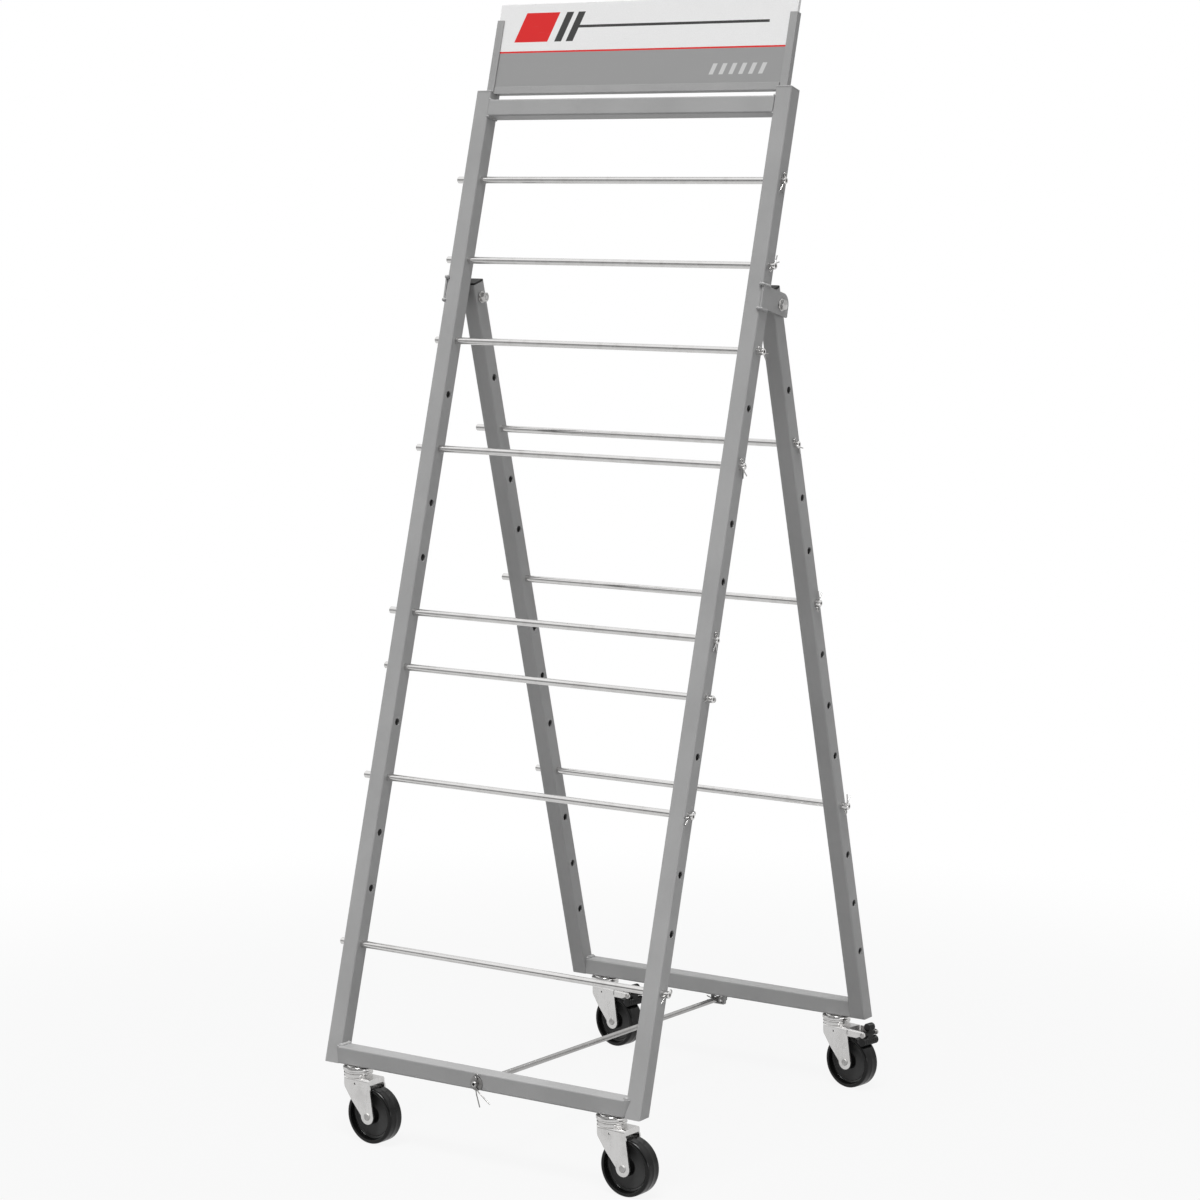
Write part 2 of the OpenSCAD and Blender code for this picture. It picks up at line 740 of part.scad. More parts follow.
module tie_rod() {
    front = tie_run + tube / 2 + tie_out;
    color(zinc) along_tie() difference() {
        translate([0, tie_tail, 0]) rotate([0, 0, -90])
            bar(tie_d, tie_tail + front, tie_d / 10);
        for (p = saddle_pins) across_tie(p, 90)
            cylinder(d = pin_hole, h = 2 * tie_d, center = true);
        across_tie(front_pin, front_pin_lean) cylinder(d = pin_hole, h = 2 * tie_d, center = true);
        translate([0, -front - overrun, 0]) rotate([-90, 0, 0])
            cylinder(d = tie_bore, h = tie_bore_l + overrun);
    }
}

module tie_rod_pins() {
    color(zinc) along_tie() {
        for (p = saddle_pins) across_tie(p, 90) split_pin(tie_d);
        across_tie(front_pin, front_pin_lean) split_pin(tie_d, tie_pin_leg, tie_pin_spread);
    }
}

module tie_rod_washer() {
    color(zinc) along_tie() translate([0, tie_washer_y, 0]) rotate([-90, 0, 0]) difference() {
        cylinder(d = tie_washer_d, h = tie_washer_t);
        translate([0, 0, -overrun])
            cylinder(d = tie_d + 2 * rod_gap, h = tie_washer_t + 2 * overrun);
    }
}

module tie_rod_saddle() {
    a = strap_in / 2;
    b = a + strap_t;
    c = b + strap_foot;
    low = -strap_depth - strap_t;
    color(steel) translate([0, tie_rear[0], base_z]) across(strap_w) polygon([[-c, 0], [-a, 0],
        [-a, -strap_depth], [a, -strap_depth], [a, 0], [c, 0], [c, -strap_t], [b, -strap_t],
        [b, low], [-b, low], [-b, -strap_t], [-c, -strap_t]]);
}

upright(-half_w);  // front_left_upright
upright(half_w - tube);  // front_right_upright
front_top_rail();
front_bottom_rail();
upright_caps();
hinge_plate(-1);  // left_hinge_plate
hinge_plate(1);  // right_hinge_plate
hinge_bolts();
hinge_washers();
hinge_nuts();
sign_sill();
sign_post(-1);  // sign_left_post
sign_post(1);  // sign_right_post
sign_panel();
front_rod(0);  // front_rod_1
front_rod(1);  // front_rod_2
front_rod(2);  // front_rod_3
front_rod(3);  // front_rod_4
front_rod(4);  // front_rod_5
front_rod(5);  // front_rod_6
front_rod(6);  // front_rod_7
front_rod(7);  // front_rod_8
front_split_pins();
front_castor_nuts();
castor_head(-front_castor_x, front_y);  // front_left_castor_head
castor_head(front_castor_x, front_y);  // front_right_castor_head
fork(-front_castor_x, front_y);  // front_left_fork
fork(front_castor_x, front_y);  // front_right_fork
axle(-front_castor_x, front_y);  // front_left_axle
axle(front_castor_x, front_y);  // front_right_axle
wheel(-front_castor_x, front_y);  // front_left_wheel
wheel(front_castor_x, front_y);  // front_right_wheel
rear_leg(-rear_half);  // rear_left_leg
rear_leg(rear_half - tube);  // rear_right_leg
rear_bottom_rail();
rear_leg_plugs();
rear_rod(0);  // rear_rod_1
rear_rod(1);  // rear_rod_2
rear_rod(2);  // rear_rod_3
rear_split_pins();
tie_rod_saddle();
rear_castor_nuts();
castor_head(-rear_castor_x, rear_y);  // rear_left_castor_head
castor_head(rear_castor_x, rear_y);  // rear_right_castor_head
fork(-rear_castor_x, rear_y, true);  // rear_left_fork
fork(rear_castor_x, rear_y, true);  // rear_right_fork
axle(-rear_castor_x, rear_y);  // rear_left_axle
axle(rear_castor_x, rear_y);  // rear_right_axle
wheel(-rear_castor_x, rear_y);  // rear_left_wheel
wheel(rear_castor_x, rear_y);  // rear_right_wheel
pedal(-rear_castor_x, rear_y);  // rear_left_pedal
pedal(rear_castor_x, rear_y);  // rear_right_pedal
pedal_pin(-rear_castor_x, rear_y);  // rear_left_pedal_pin
pedal_pin(rear_castor_x, rear_y);  // rear_right_pedal_pin
tie_rod();
tie_rod_pins();
tie_rod_washer();
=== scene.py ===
"""Looks of the carrier frame on castors: finishes, welds, split pins, bolts, castors and sign.

All lengths are in metres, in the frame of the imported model: +X along the rods, +Y from the
front frame to the rear frame and +Z up from the floor.
"""
import json
import logging
import math
from dataclasses import dataclass, field
from enum import Enum
from typing import Iterable, Sequence

import bmesh
import bpy
from mathutils import Matrix, Vector

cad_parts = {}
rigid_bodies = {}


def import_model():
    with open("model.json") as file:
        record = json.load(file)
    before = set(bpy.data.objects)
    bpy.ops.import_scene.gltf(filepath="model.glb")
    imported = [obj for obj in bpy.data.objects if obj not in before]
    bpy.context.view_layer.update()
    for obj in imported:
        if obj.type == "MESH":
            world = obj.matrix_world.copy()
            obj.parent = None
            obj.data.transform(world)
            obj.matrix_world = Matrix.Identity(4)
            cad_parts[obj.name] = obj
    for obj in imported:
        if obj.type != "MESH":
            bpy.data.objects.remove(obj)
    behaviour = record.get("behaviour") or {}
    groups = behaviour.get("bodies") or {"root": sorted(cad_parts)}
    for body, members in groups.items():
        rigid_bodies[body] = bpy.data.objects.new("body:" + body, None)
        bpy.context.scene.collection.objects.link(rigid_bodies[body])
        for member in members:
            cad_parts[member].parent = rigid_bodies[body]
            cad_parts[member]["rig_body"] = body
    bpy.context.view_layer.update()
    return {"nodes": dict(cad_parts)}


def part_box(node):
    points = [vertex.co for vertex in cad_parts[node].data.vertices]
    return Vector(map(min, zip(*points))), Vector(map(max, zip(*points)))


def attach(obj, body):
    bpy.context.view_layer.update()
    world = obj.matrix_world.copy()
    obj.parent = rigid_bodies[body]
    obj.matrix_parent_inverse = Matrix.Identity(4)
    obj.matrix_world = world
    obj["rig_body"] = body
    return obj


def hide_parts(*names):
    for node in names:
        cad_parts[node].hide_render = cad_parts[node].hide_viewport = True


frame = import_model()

LOG = logging.getLogger("carrier")
MM = 0.001
JOIN = 1e-6
Colour = tuple[float, float, float, float]
Point2 = tuple[float, float]
Bars = tuple[Point2, ...]
RodSet = tuple[float, float, float]
Rivet = tuple[float, float, float]


class Body(Enum):
    """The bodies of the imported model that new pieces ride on."""

    FRONT = "front_frame"
    REAR = "rear_frame"
    TIE = "tie_rod"


class Slot(Enum):
    """The record's material slots."""

    FRAME = "frame_paint"
    ZINC = "zinc_plate"
    WHEEL = "wheel_plastic"
    PEDAL = "pedal_plastic"
    PLUG = "plug_plastic"
    SIGN = "sign_board"


class Side(Enum):
    """The two sides of the carrier, as signs of x."""

    LEFT = -1
    RIGHT = 1

    @property
    def word(self) -> str:
        """The side as it stands in names."""
        return self.name.lower()


class End(Enum):
    """The two frames, as they stand in names."""

    FRONT = "front"
    REAR = "rear"


def grey(value: float, warm: float = 0.0) -> Colour:
    """A grey written as a display value from 0 to 1, made linear.

    Args:
        value: The display value.
        warm: How far red is raised and blue lowered.

    Returns:
        The linear colour with full alpha.
    """
    return srgb(value + warm, value, value - warm)


def srgb(red: float, green: float, blue: float) -> Colour:
    """A display colour made linear.

    Args:
        red: Display red from 0 to 1.
        green: Display green from 0 to 1.
        blue: Display blue from 0 to 1.

    Returns:
        The linear colour with full alpha.
    """
    linear = [c / 12.92 if c <= 0.04045 else ((c + 0.055) / 1.055) ** 2.4
              for c in (red, green, blue)]
    return (linear[0], linear[1], linear[2], 1.0)


# ---------------------------------------------------------------- node trees


class Sock:
    """An output socket of a node tree, with the arithmetic that finishes and trees use."""

    def __init__(self, board: "Board", socket: bpy.types.NodeSocket) -> None:
        """Wraps a socket of the tree on that board."""
        self.board = board
        self.socket = socket

    def _math(self, operation: str, *terms: "Sock | float") -> "Sock":
        """Adds one Math node on the terms."""
        return self.board.node("ShaderNodeMath", {"operation": operation},
                               dict(enumerate(terms)))

    def __add__(self, other: "Sock | float") -> "Sock":
        """Sum."""
        return self._math("ADD", self, other)

    __radd__ = __add__

    def __sub__(self, other: "Sock | float") -> "Sock":
        """Difference."""
        return self._math("SUBTRACT", self, other)

    def __rsub__(self, other: float) -> "Sock":
        """Difference from a number."""
        return self._math("SUBTRACT", other, self)

    def __mul__(self, other: "Sock | float") -> "Sock":
        """Product."""
        return self._math("MULTIPLY", self, other)

    __rmul__ = __mul__

    def __abs__(self) -> "Sock":
        """Size without sign."""
        return self._math("ABSOLUTE", self)

    def below(self, other: "Sock | float") -> "Sock":
        """The smaller of the two."""
        return self._math("MINIMUM", self, other)

    def above(self, other: "Sock | float") -> "Sock":
        """The larger of the two."""
        return self._math("MAXIMUM", self, other)

    def ramp(self, low: float, high: float) -> "Sock":
        """A smooth step from 0 at low to 1 at high."""
        return self.board.node("ShaderNodeMapRange", {"interpolation_type": "SMOOTHSTEP"},
                               {0: self, 1: low, 2: high, 3: 0.0, 4: 1.0})


class Board:
    """A node tree that is being filled."""

    def __init__(self, tree: bpy.types.NodeTree) -> None:
        """Keeps the tree."""
        self.tree = tree

    def node(self, kind: str, settings: dict | None = None, values: dict | None = None,
             out: int | str = 0) -> Sock:
        """Adds a node.

        Args:
            kind: The node's type.
            settings: Properties, set first.
            values: Numbers, colours or links by socket name or index.
            out: The output that is returned.

        Returns:
            The wrapped output, or the wrapped first input of a node without outputs.
        """
        made = self.tree.nodes.new(kind)
        for key, value in (settings or {}).items():
            setattr(made, key, value)
        for key, value in (values or {}).items():
            if isinstance(value, Sock):
                self.tree.links.new(value.socket, made.inputs[key])
            else:
                made.inputs[key].default_value = value
        return Sock(self, made.outputs[out] if len(made.outputs) else made.inputs[0])

    def mix(self, share: Sock | float, low: Sock | Colour, high: Sock | Colour) -> Sock:
        """Mixes two colours.

        Args:
            share: Share of the second colour.
            low: The first colour.
            high: The second colour.

        Returns:
            The mixed colour.
        """
        return self.node("ShaderNodeMix", {"data_type": "RGBA"}, {0: share, 6: low, 7: high}, 2)

    def place(self, scale: Sequence[float] = (1, 1, 1), turn: Sequence[float] = (0, 0, 0),
              shift: Sequence[float] = (0, 0, 0)) -> Sock:
        """Object coordinates, scaled, turned and shifted.

        Args:
            scale: Scale on each axis.
            turn: Turn about each axis in radians.
            shift: Shift after the turn.

        Returns:
            The coordinates.
        """
        at = self.node("ShaderNodeTexCoord", out="Object")
        return self.node("ShaderNodeMapping", {}, {
            "Vector": at, "Scale": scale, "Rotation": turn, "Location": shift})

    def noise(self, at: Sock, scale: float, detail: float = 3.0, rough: float = 0.5) -> Sock:
        """Noise from 0 to 1 at that scale in cycles per metre."""
        return self.node("ShaderNodeTexNoise", {}, {
            "Vector": at, "Scale": scale, "Detail": detail, "Roughness": rough})

    def parts(self, at: Sock) -> tuple[Sock, Sock, Sock]:
        """The x, y and z of a vector."""
        split = self.node("ShaderNodeSeparateXYZ", {}, {0: at})
        return tuple(Sock(self, s) for s in split.socket.node.outputs)

    def bump(self, height: Sock, depth: float, strength: float = 1.0) -> Sock:
        """A normal bent by a height from 0 to 1 that stands for that depth."""
        return self.node("ShaderNodeBump", {}, {
            "Strength": strength, "Distance": depth, "Height": height})

    def rays(self) -> tuple[Sock, Sock]:
        """Marks the rays that a backdrop treats apart.

        Returns:
            One on rays from the camera or through glass, and one on glossy rays.
        """
        path = self.node("ShaderNodeLightPath").socket.node.outputs
        seen = Sock(self, path["Is Camera Ray"]).above(Sock(self, path["Is Transmission Ray"]))
        return seen, Sock(self, path["Is Glossy Ray"])


Inputs = dict[str, Sock | float]


# ------------------------------------------------------------------ finishes


@dataclass(frozen=True)
class Finish:
    """A named surface; each kind gives the inputs of its shader."""

    name: str

    def sockets(self, board: Board) -> Inputs:
        """The shader's inputs, by name; a kind of finish adds its own."""
        return {}

    def blank(self) -> tuple[bpy.types.Material, Board]:
        """Starts a material.

        Returns:
            The material and its empty tree.
        """
        made = bpy.data.materials.new(self.name)
        made.use_nodes = True
        made.node_tree.nodes.clear()
        return made, Board(made.node_tree)

    def material(self) -> bpy.types.Material:
        """Makes the material on first use.

        Returns:
            The material.
        """
        found = bpy.data.materials.get(self.name)
        if found:
            return found
        made, board = self.blank()
        shader = board.node("ShaderNodeBsdfPrincipled", {}, self.sockets(board))
        board.node("ShaderNodeOutputMaterial", {}, {"Surface": shader})
        return made


@dataclass(frozen=True)
class PowderCoat(Finish):
    """Silver grey powder coat: fine flake, orange peel, slight mottling and rubbed dust."""

    base: float = 0.64
    flake: float = 5200.0
    peel: float = 620.0
    scuff: float = 0.5

    def sockets(self, board: Board) -> Inputs:
        """The coat's shader inputs.

        Args:
            board: The tree to fill.

        Returns:
            The inputs by name.
        """
        at = board.place()
        flake = board.noise(at, self.flake, 1.0)
        mottle = board.noise(at, 9.0, 4.0)
        peel = board.noise(at, self.peel, 2.0)
        streak = board.noise(board.place((160, 160, 9)), 1.0, 3.0, 0.6)
        _, _, height = board.parts(at)
        low = 1.0 - height.ramp(0.09, 0.42)
        rub = (streak.ramp(0.56, 0.74) * 0.55 + low * 0.35) * self.scuff
        body = board.mix(mottle.ramp(0.3, 0.7), grey(self.base - 0.018), grey(self.base + 0.014))
        body = board.mix(flake.ramp(0.56, 0.75) * 0.55, body, grey(self.base + 0.13))
        body = board.mix(flake.ramp(0.46, 0.3) * 0.35, body, grey(self.base - 0.11))
        body = board.mix(rub * 0.32, body, grey(self.base - 0.14, 0.006))
        return {"Base Color": body, "Metallic": 0.06, "IOR": 1.45,
                "Roughness": 0.4 + mottle * 0.1 + rub * 0.14,
                "Coat Weight": 0.06, "Coat Roughness": 0.25,
                "Normal": board.bump(peel * 0.7 + flake * 0.3, 0.00006, 0.55)}


@dataclass(frozen=True)
class ZincPlate(Finish):
    """Bright zinc on drawn or pressed steel, with draw lines along one axis and cloudy spots."""

    base: float = 0.86
    rough: float = 0.2
    lines: tuple[float, float, float] = (5.0, 900.0, 900.0)
    cloud: float = 60.0

    def sockets(self, board: Board) -> Inputs:
        """The plate's shader inputs.

        Args:
            board: The tree to fill.

        Returns:
            The inputs by name.
        """
        at = board.place()
        lines = board.noise(board.place(self.lines), 1.0, 4.0, 0.65)
        cloud = board.noise(at, self.cloud, 4.0, 0.6)
        spots = board.noise(at, self.cloud * 14, 2.0)
        worn = cloud.ramp(0.45, 0.72)
        tone = board.mix(worn, grey(self.base, 0.004), grey(self.base - 0.045, 0.006))
        tone = board.mix(lines.ramp(0.5, 0.8) * 0.4, tone, grey(self.base - 0.14))
        tone = board.mix(spots.ramp(0.66, 0.8) * 0.35, tone, grey(self.base - 0.2, 0.01))
        return {"Base Color": tone, "Metallic": 1.0,
                "Roughness": (lines * 0.5 + worn * 0.3 + 0.8) * self.rough,
                "Normal": board.bump(lines * 0.7 + spots * 0.3, 0.00003, 0.5)}


@dataclass(frozen=True)
class MouldedBlack(Finish):
    """Moulded black plastic: fine spark texture, dull handling marks and a little grey dust.

    Where a mesh has a "matt" attribute, the plastic is greyer and duller.
    """

    base: float = 0.06
    rough: float = 0.3
    grain: float = 2600.0
    dust: float = 0.4
    matt: float = 0.0
    shine: float = 0.3

    def sockets(self, board: Board) -> Inputs:
        """The plastic's shader inputs.

        Args:
            board: The tree to fill.

        Returns:
            The inputs by name.
        """
        at = board.place()
        grain = board.noise(at, self.grain, 2.0)
        marks = board.noise(at, 70.0, 5.0, 0.65)
        scratch = board.noise(board.place((60, 1100, 60), (0.3, 0.2, 0.5)), 1.0, 3.0)
        dusty = marks.ramp(0.5, 0.78) * self.dust
        fine = scratch.ramp(0.66, 0.78) * 0.5 * self.dust
        tone = board.mix(dusty * 0.5 + fine * 0.5, grey(self.base), grey(self.base + 0.16, 0.008))
        dull = board.node("ShaderNodeAttribute", {"attribute_name": "matt"}, out="Fac") * self.matt
        tone = board.mix(dull, tone, grey(0.3))
        return {"Base Color": tone, "IOR": 1.5, "Specular IOR Level": self.shine,
                "Roughness": self.rough + grain * 0.08 + dusty * 0.3 + fine * 0.2 + dull * 0.4,
                "Normal": board.bump(grain * 0.6 + marks * 0.4, 0.00005, 0.4)}


@dataclass(frozen=True)
class SignPrint(Finish):
    """A printed board: white, with a grey foot band and plain red marks.

    The sizes are measured up the slope and across from the middle of the board.
    """

    lean: float = math.radians(15.0)
    foot_y: float = 0.0
    foot_z: float = 0.0
    half: float = 0.25
    band: float = 58 * MM
    line: float = 2.6 * MM
    face: float = 0.93
    soft: float = 0.25 * MM
    slant: float = 0.35
    block: Bars = ((-0.215, 58 * MM),)
    stripes: Bars = ((-0.168, 12 * MM), (-0.148, 12 * MM))
    head_rows: Point2 = (74 * MM, 118 * MM)
    rule: Bars = ((0.048, 320 * MM),)
    rule_rows: Point2 = (94 * MM, 98 * MM)
    dashes: Bars = tuple((0.118 + 0.016 * k, 7 * MM) for k in range(6))
    dash_rows: Point2 = (20 * MM, 36 * MM)

    def sockets(self, board: Board) -> Inputs:
        """The board's shader inputs.

        Args:
            board: The tree to fill.

        Returns:
            The inputs by name.
        """
        at = board.node("ShaderNodeTexCoord", out="Object")
        moved = board.node("ShaderNodeVectorMath", {"operation": "SUBTRACT"},
                           {0: at, 1: (0.0, self.foot_y, self.foot_z)})
        turned = board.node("ShaderNodeMapping", {"vector_type": "POINT"},
                            {"Vector": moved, "Rotation": (self.lean, 0.0, 0.0)})
        x, depth, up = board.parts(turned)
        soft = self.soft
        front = (0.0 - depth).ramp(2.0 * MM, 2.6 * MM)
        band = 1.0 - up.ramp(self.band - soft, self.band + soft)
        edge = abs(up - self.band - self.line / 2)
        line = 1.0 - edge.ramp(self.line / 2 - soft, self.line / 2 + soft)
        slant = x - up * self.slant
        block = self._bars(slant, up, self.block, self.head_rows)
        dark = self._bars(slant, up, self.stripes, self.head_rows)
        rule = self._bars(x, up, self.rule, self.rule_rows)
        marks = self._bars(slant, up, self.dashes, self.dash_rows)
        fine = board.noise(at, 900.0, 3.0)
        scuff = board.noise(board.place((30, 400, 400), (0.2, 0.0, 0.3)), 1.0, 3.0)
        white = board.mix(fine.ramp(0.35, 0.7), grey(self.face - 0.012), grey(self.face + 0.008))
        tone = board.mix(band * front, white, grey(0.6))
        tone = board.mix(marks * front, tone, grey(0.8))
        tone = board.mix((line + block).below(1.0) * front, tone, srgb(0.86, 0.055, 0.06))
        tone = board.mix((dark + rule).below(1.0) * front, tone, grey(0.2))
        tone = board.mix(scuff.ramp(0.64, 0.8) * 0.12, tone, grey(0.62))
        return {"Base Color": tone, "Roughness": 0.3 + fine * 0.1 + scuff.ramp(0.6, 0.8) * 0.2,
                "Coat Weight": 0.2, "Coat Roughness": 0.15,
                "Normal": board.bump(fine, 0.00003, 0.3)}

    def _bars(self, across: Sock, up: Sock, bars: Bars, rows: Point2) -> Sock:
        """Bars between two heights.

        Args:
            across: The distance across, straight or slanted.
            up: The distance up the board.
            bars: Middle and width of each bar.
            rows: Lower and upper end of the bars.

        Returns:
            One on the bars.
        """
        soft = self.soft
        total: Sock | float = 0.0
        for middle, wide in bars:
            total = total + (1.0 - abs(across - middle).ramp(wide / 2 - soft, wide / 2 + soft))
        low, high = rows
        return total * up.ramp(low, low + soft) * (1.0 - up.ramp(high, high + soft))


@dataclass(frozen=True)
class Backdrop(Finish):
    """White floor: shaded for the light, white for what the camera and gloss see.

    Near the carrier it keeps some of its shadow, and gloss sees it dimmer far out in front.
    """

    white: float = 0.6
    near: float = 0.9
    fade: Point2 = (0.5, 4.0)
    gloss: float = 0.6
    dim: float = 0.9
    front: Point2 = (1.0, 2.4)

    def material(self) -> bpy.types.Material:
        """Makes the floor's material.

        Returns:
            The material.
        """
        made, board = self.blank()
        diffuse = board.node("ShaderNodeBsdfDiffuse", {}, {"Color": grey(self.white)})
        shine = board.node("ShaderNodeEmission", {}, {"Color": (1, 1, 1, 1), "Strength": 1.0})
        seen, gloss = board.rays()
        x, y, _ = board.parts(board.place())
        front = (0.0 - y).ramp(*self.front) * self.dim
        white = seen.above(gloss * self.gloss * (1.0 - front))
        glow = self.near + (x * x + y * y).ramp(*self.fade) * (1.0 - self.near)
        both = board.node("ShaderNodeMixShader", {}, {0: white * glow, 1: diffuse, 2: shine})
        board.node("ShaderNodeOutputMaterial", {}, {"Surface": both})
        return made


PAINT = PowderCoat("silver_powder_coat")
DRAWN_ZINC = ZincPlate("drawn_zinc_rod", base=0.9, rough=0.07)
TIE_ZINC = ZincPlate("drawn_zinc_tie_rod", base=0.72, rough=0.2, lines=(900.0, 5.0, 900.0))
WIRE_ZINC = ZincPlate("zinc_wire", base=0.7, rough=0.12, lines=(500.0, 500.0, 500.0))
DULL_ZINC = ZincPlate("dull_zinc", base=0.6, rough=0.4, lines=(300.0, 300.0, 300.0))
BOLT_ZINC = ZincPlate("zinc_bolt", base=0.8, rough=0.15, lines=(700.0, 60.0, 60.0))
RIVET_ZINC = ZincPlate("zinc_rivet", base=0.74, rough=0.58, lines=(300.0, 300.0, 300.0))
HEAD_ZINC = ZincPlate("zinc_castor_head", base=0.87, rough=0.08, lines=(60.0, 60.0, 500.0))
PRESSED_ZINC = ZincPlate("pressed_zinc", base=0.9, rough=0.24, lines=(260.0, 260.0, 40.0),
                         cloud=38.0)
WHEEL_BLACK = MouldedBlack("wheel_black", base=0.055, rough=0.12, dust=0.2, matt=0.75)
PEDAL_BLACK = MouldedBlack("pedal_black", base=0.07, rough=0.3, grain=1800.0, dust=0.35)
PLUG_BLACK = MouldedBlack("plug_black", base=0.06, rough=0.45, dust=0.2)


# --------------------------------------------------------------------- forms


class Form:
    """Faces of one shape, gathered before they become a mesh."""

    def __init__(self) -> None:
        """Starts empty."""
        self.bm = bmesh.new()

    def grid(self, rows: Sequence[Sequence[Vector]], round_rows: bool = False,
             round_cols: bool = False) -> None:
        """Joins rows of points by quads.

        Args:
            rows: Rows of equal length.
            round_rows: Joins the last row to the first.
            round_cols: Joins the last point of a row to its first.
        """
        made = [[self.bm.verts.new(p) for p in row] for row in rows]
        for i in range(len(made) - (0 if round_rows else 1)):
            here, there = made[i], made[(i + 1) % len(made)]
            for j in range(len(here) - (0 if round_cols else 1)):
                k = (j + 1) % len(here)
                self.bm.faces.new((here[j], here[k], there[k], there[j]))

    def lathe(self, profile: Sequence[Point2], turns: int, place: Matrix) -> None:
        """Turns a profile about the local z axis.

        Args:
            profile: Radius and height of each point; a radius of 0 closes a pole.
            turns: Number of steps round.
            place: Where the shape goes.
        """
        rows = []
        for i in range(turns):
            a = math.tau * i / turns
            rows.append([place @ Vector((r * math.cos(a), r * math.sin(a), z))
                         for r, z in profile])
        self.grid(rows, round_rows=True)

    def block(self, size: Sequence[float], place: Matrix) -> None:
        """Adds a box with its middle at the place."""
        bmesh.ops.create_cube(self.bm, size=1.0, matrix=place @ Matrix.Diagonal((*size, 1.0)))

    def mesh(self, name: str, finish: Finish | None, sharp: float = 35.0) -> bpy.types.Mesh:
        """Closes the shape.

        Args:
            name: The mesh's name.
            finish: Its finish.
            sharp: Edges above this angle in degrees stay sharp.

        Returns:
            The mesh with its faces outward.
        """
        bmesh.ops.remove_doubles(self.bm, verts=self.bm.verts, dist=JOIN)
        bmesh.ops.dissolve_degenerate(self.bm, edges=self.bm.edges, dist=JOIN / 10)
        bmesh.ops.recalc_face_normals(self.bm, faces=self.bm.faces)
        for face in self.bm.faces:
            face.smooth = True
        made = bpy.data.meshes.new(name)
        self.bm.to_mesh(made)
        self.bm.free()
        made.set_sharp_from_angle(angle=math.radians(sharp))
        if finish:
            made.materials.append(finish.material())
        return made


def show(name: str, mesh: bpy.types.Mesh, body: str,
         stands_for: Iterable[str] = ()) -> bpy.types.Object:
    """Puts a finished mesh in the scene on its body.

    Args:
        name: The piece's name.
        mesh: Its mesh, already in place.
        body: The body that it rides on.
        stands_for: The nodes that it replaces.

    Returns:
        The piece.
    """
    made = bpy.data.objects.new(name, mesh)
    bpy.context.scene.collection.objects.link(made)
    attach(made, body)
    if stands_for:
        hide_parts(*stands_for)
    LOG.info("%s rides on %s with %d faces", name, body, len(mesh.polygons))
    return made


def body_of(node: str) -> str:
    """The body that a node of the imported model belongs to."""
    return frame["nodes"][node]["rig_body"]


def melted(name: str, source: bpy.types.Mesh, cell: float, passes: int,
           finish: Finish) -> bpy.types.Mesh:
    """Melts overlapping shapes into one closed, smoothed surface.

    Args:
        name: Name of the result.
        source: The overlapping shapes.
        cell: Size of the cells that the surface is rebuilt on.
        passes: Rounds of smoothing.
        finish: The finish of the result.

    Returns:
        The melted mesh.
    """
    holder = bpy.data.objects.new(name + "_source", source)
    bpy.context.scene.collection.objects.link(holder)
    melt = holder.modifiers.new("melt", "REMESH")
    melt.mode, melt.voxel_size, melt.use_smooth_shade = "VOXEL", cell, True
    soft = holder.modifiers.new("soft", "SMOOTH")
    soft.factor, soft.iterations = 0.5, passes
    graph = bpy.context.evaluated_depsgraph_get()
    made = bpy.data.meshes.new_from_object(holder.evaluated_get(graph))
    made.name = name
    bpy.data.objects.remove(holder)
    made.materials.clear()
    made.materials.append(finish.material())
    return made


# ------------------------------------------------------------ geometry nodes


class GeometryTree(Board):
    """A geometry node tree with named inputs that is turned into plain meshes."""

    def __init__(self, name: str, inputs: Sequence[tuple[str, str]]) -> None:
        """Makes the tree and its inputs.

        Args:
            name: The tree's name.
            inputs: Names and socket types of the inputs.
        """
        group = bpy.data.node_groups.new(name, "GeometryNodeTree")
        face = group.interface
        face.new_socket("Geometry", in_out="INPUT", socket_type="NodeSocketGeometry")
        for label, kind in inputs:
            face.new_socket(label, in_out="INPUT", socket_type=kind)
        face.new_socket("Geometry", in_out="OUTPUT", socket_type="NodeSocketGeometry")
        super().__init__(group)
        self.given = group.nodes.new("NodeGroupInput")

    def input(self, label: str) -> Sock:
        """One of the tree's inputs."""
        return Sock(self, self.given.outputs[label])

    def close(self, shape: Sock) -> None:
        """Ends the tree: plain geometry, shaded smooth, with the Material input.

        Args:
            shape: The geometry so far.
        """
        plain = self.node("GeometryNodeRealizeInstances", {}, {0: shape})
        smooth = self.node("GeometryNodeSetShadeSmooth", {}, {0: plain, 2: True})
        dressed = self.node("GeometryNodeSetMaterial", {},
                            {0: smooth, 2: self.input("Material")})
        self.node("NodeGroupOutput", {}, {0: dressed})

    def run(self, name: str, source: bpy.types.Mesh, values: dict) -> bpy.types.Mesh:
        """Runs the tree on a mesh.

        Args:
            name: Name of the result.
            source: The mesh that goes in.
            values: Values of the inputs by name.

        Returns:
            The result as a plain mesh.
        """
        holder = bpy.data.objects.new(name + "_source", source)
        bpy.context.scene.collection.objects.link(holder)
        modifier = holder.modifiers.new("tree", "NODES")
        modifier.node_group = self.tree
        for item in self.tree.interface.items_tree:
            if item.in_out == "INPUT" and item.name in values:
                modifier[item.identifier] = values[item.name]
        graph = bpy.context.evaluated_depsgraph_get()
        made = bpy.data.meshes.new_from_object(holder.evaluated_get(graph))
        made.name = name
        holder.modifiers.clear()
        bpy.data.objects.remove(holder)
        return made


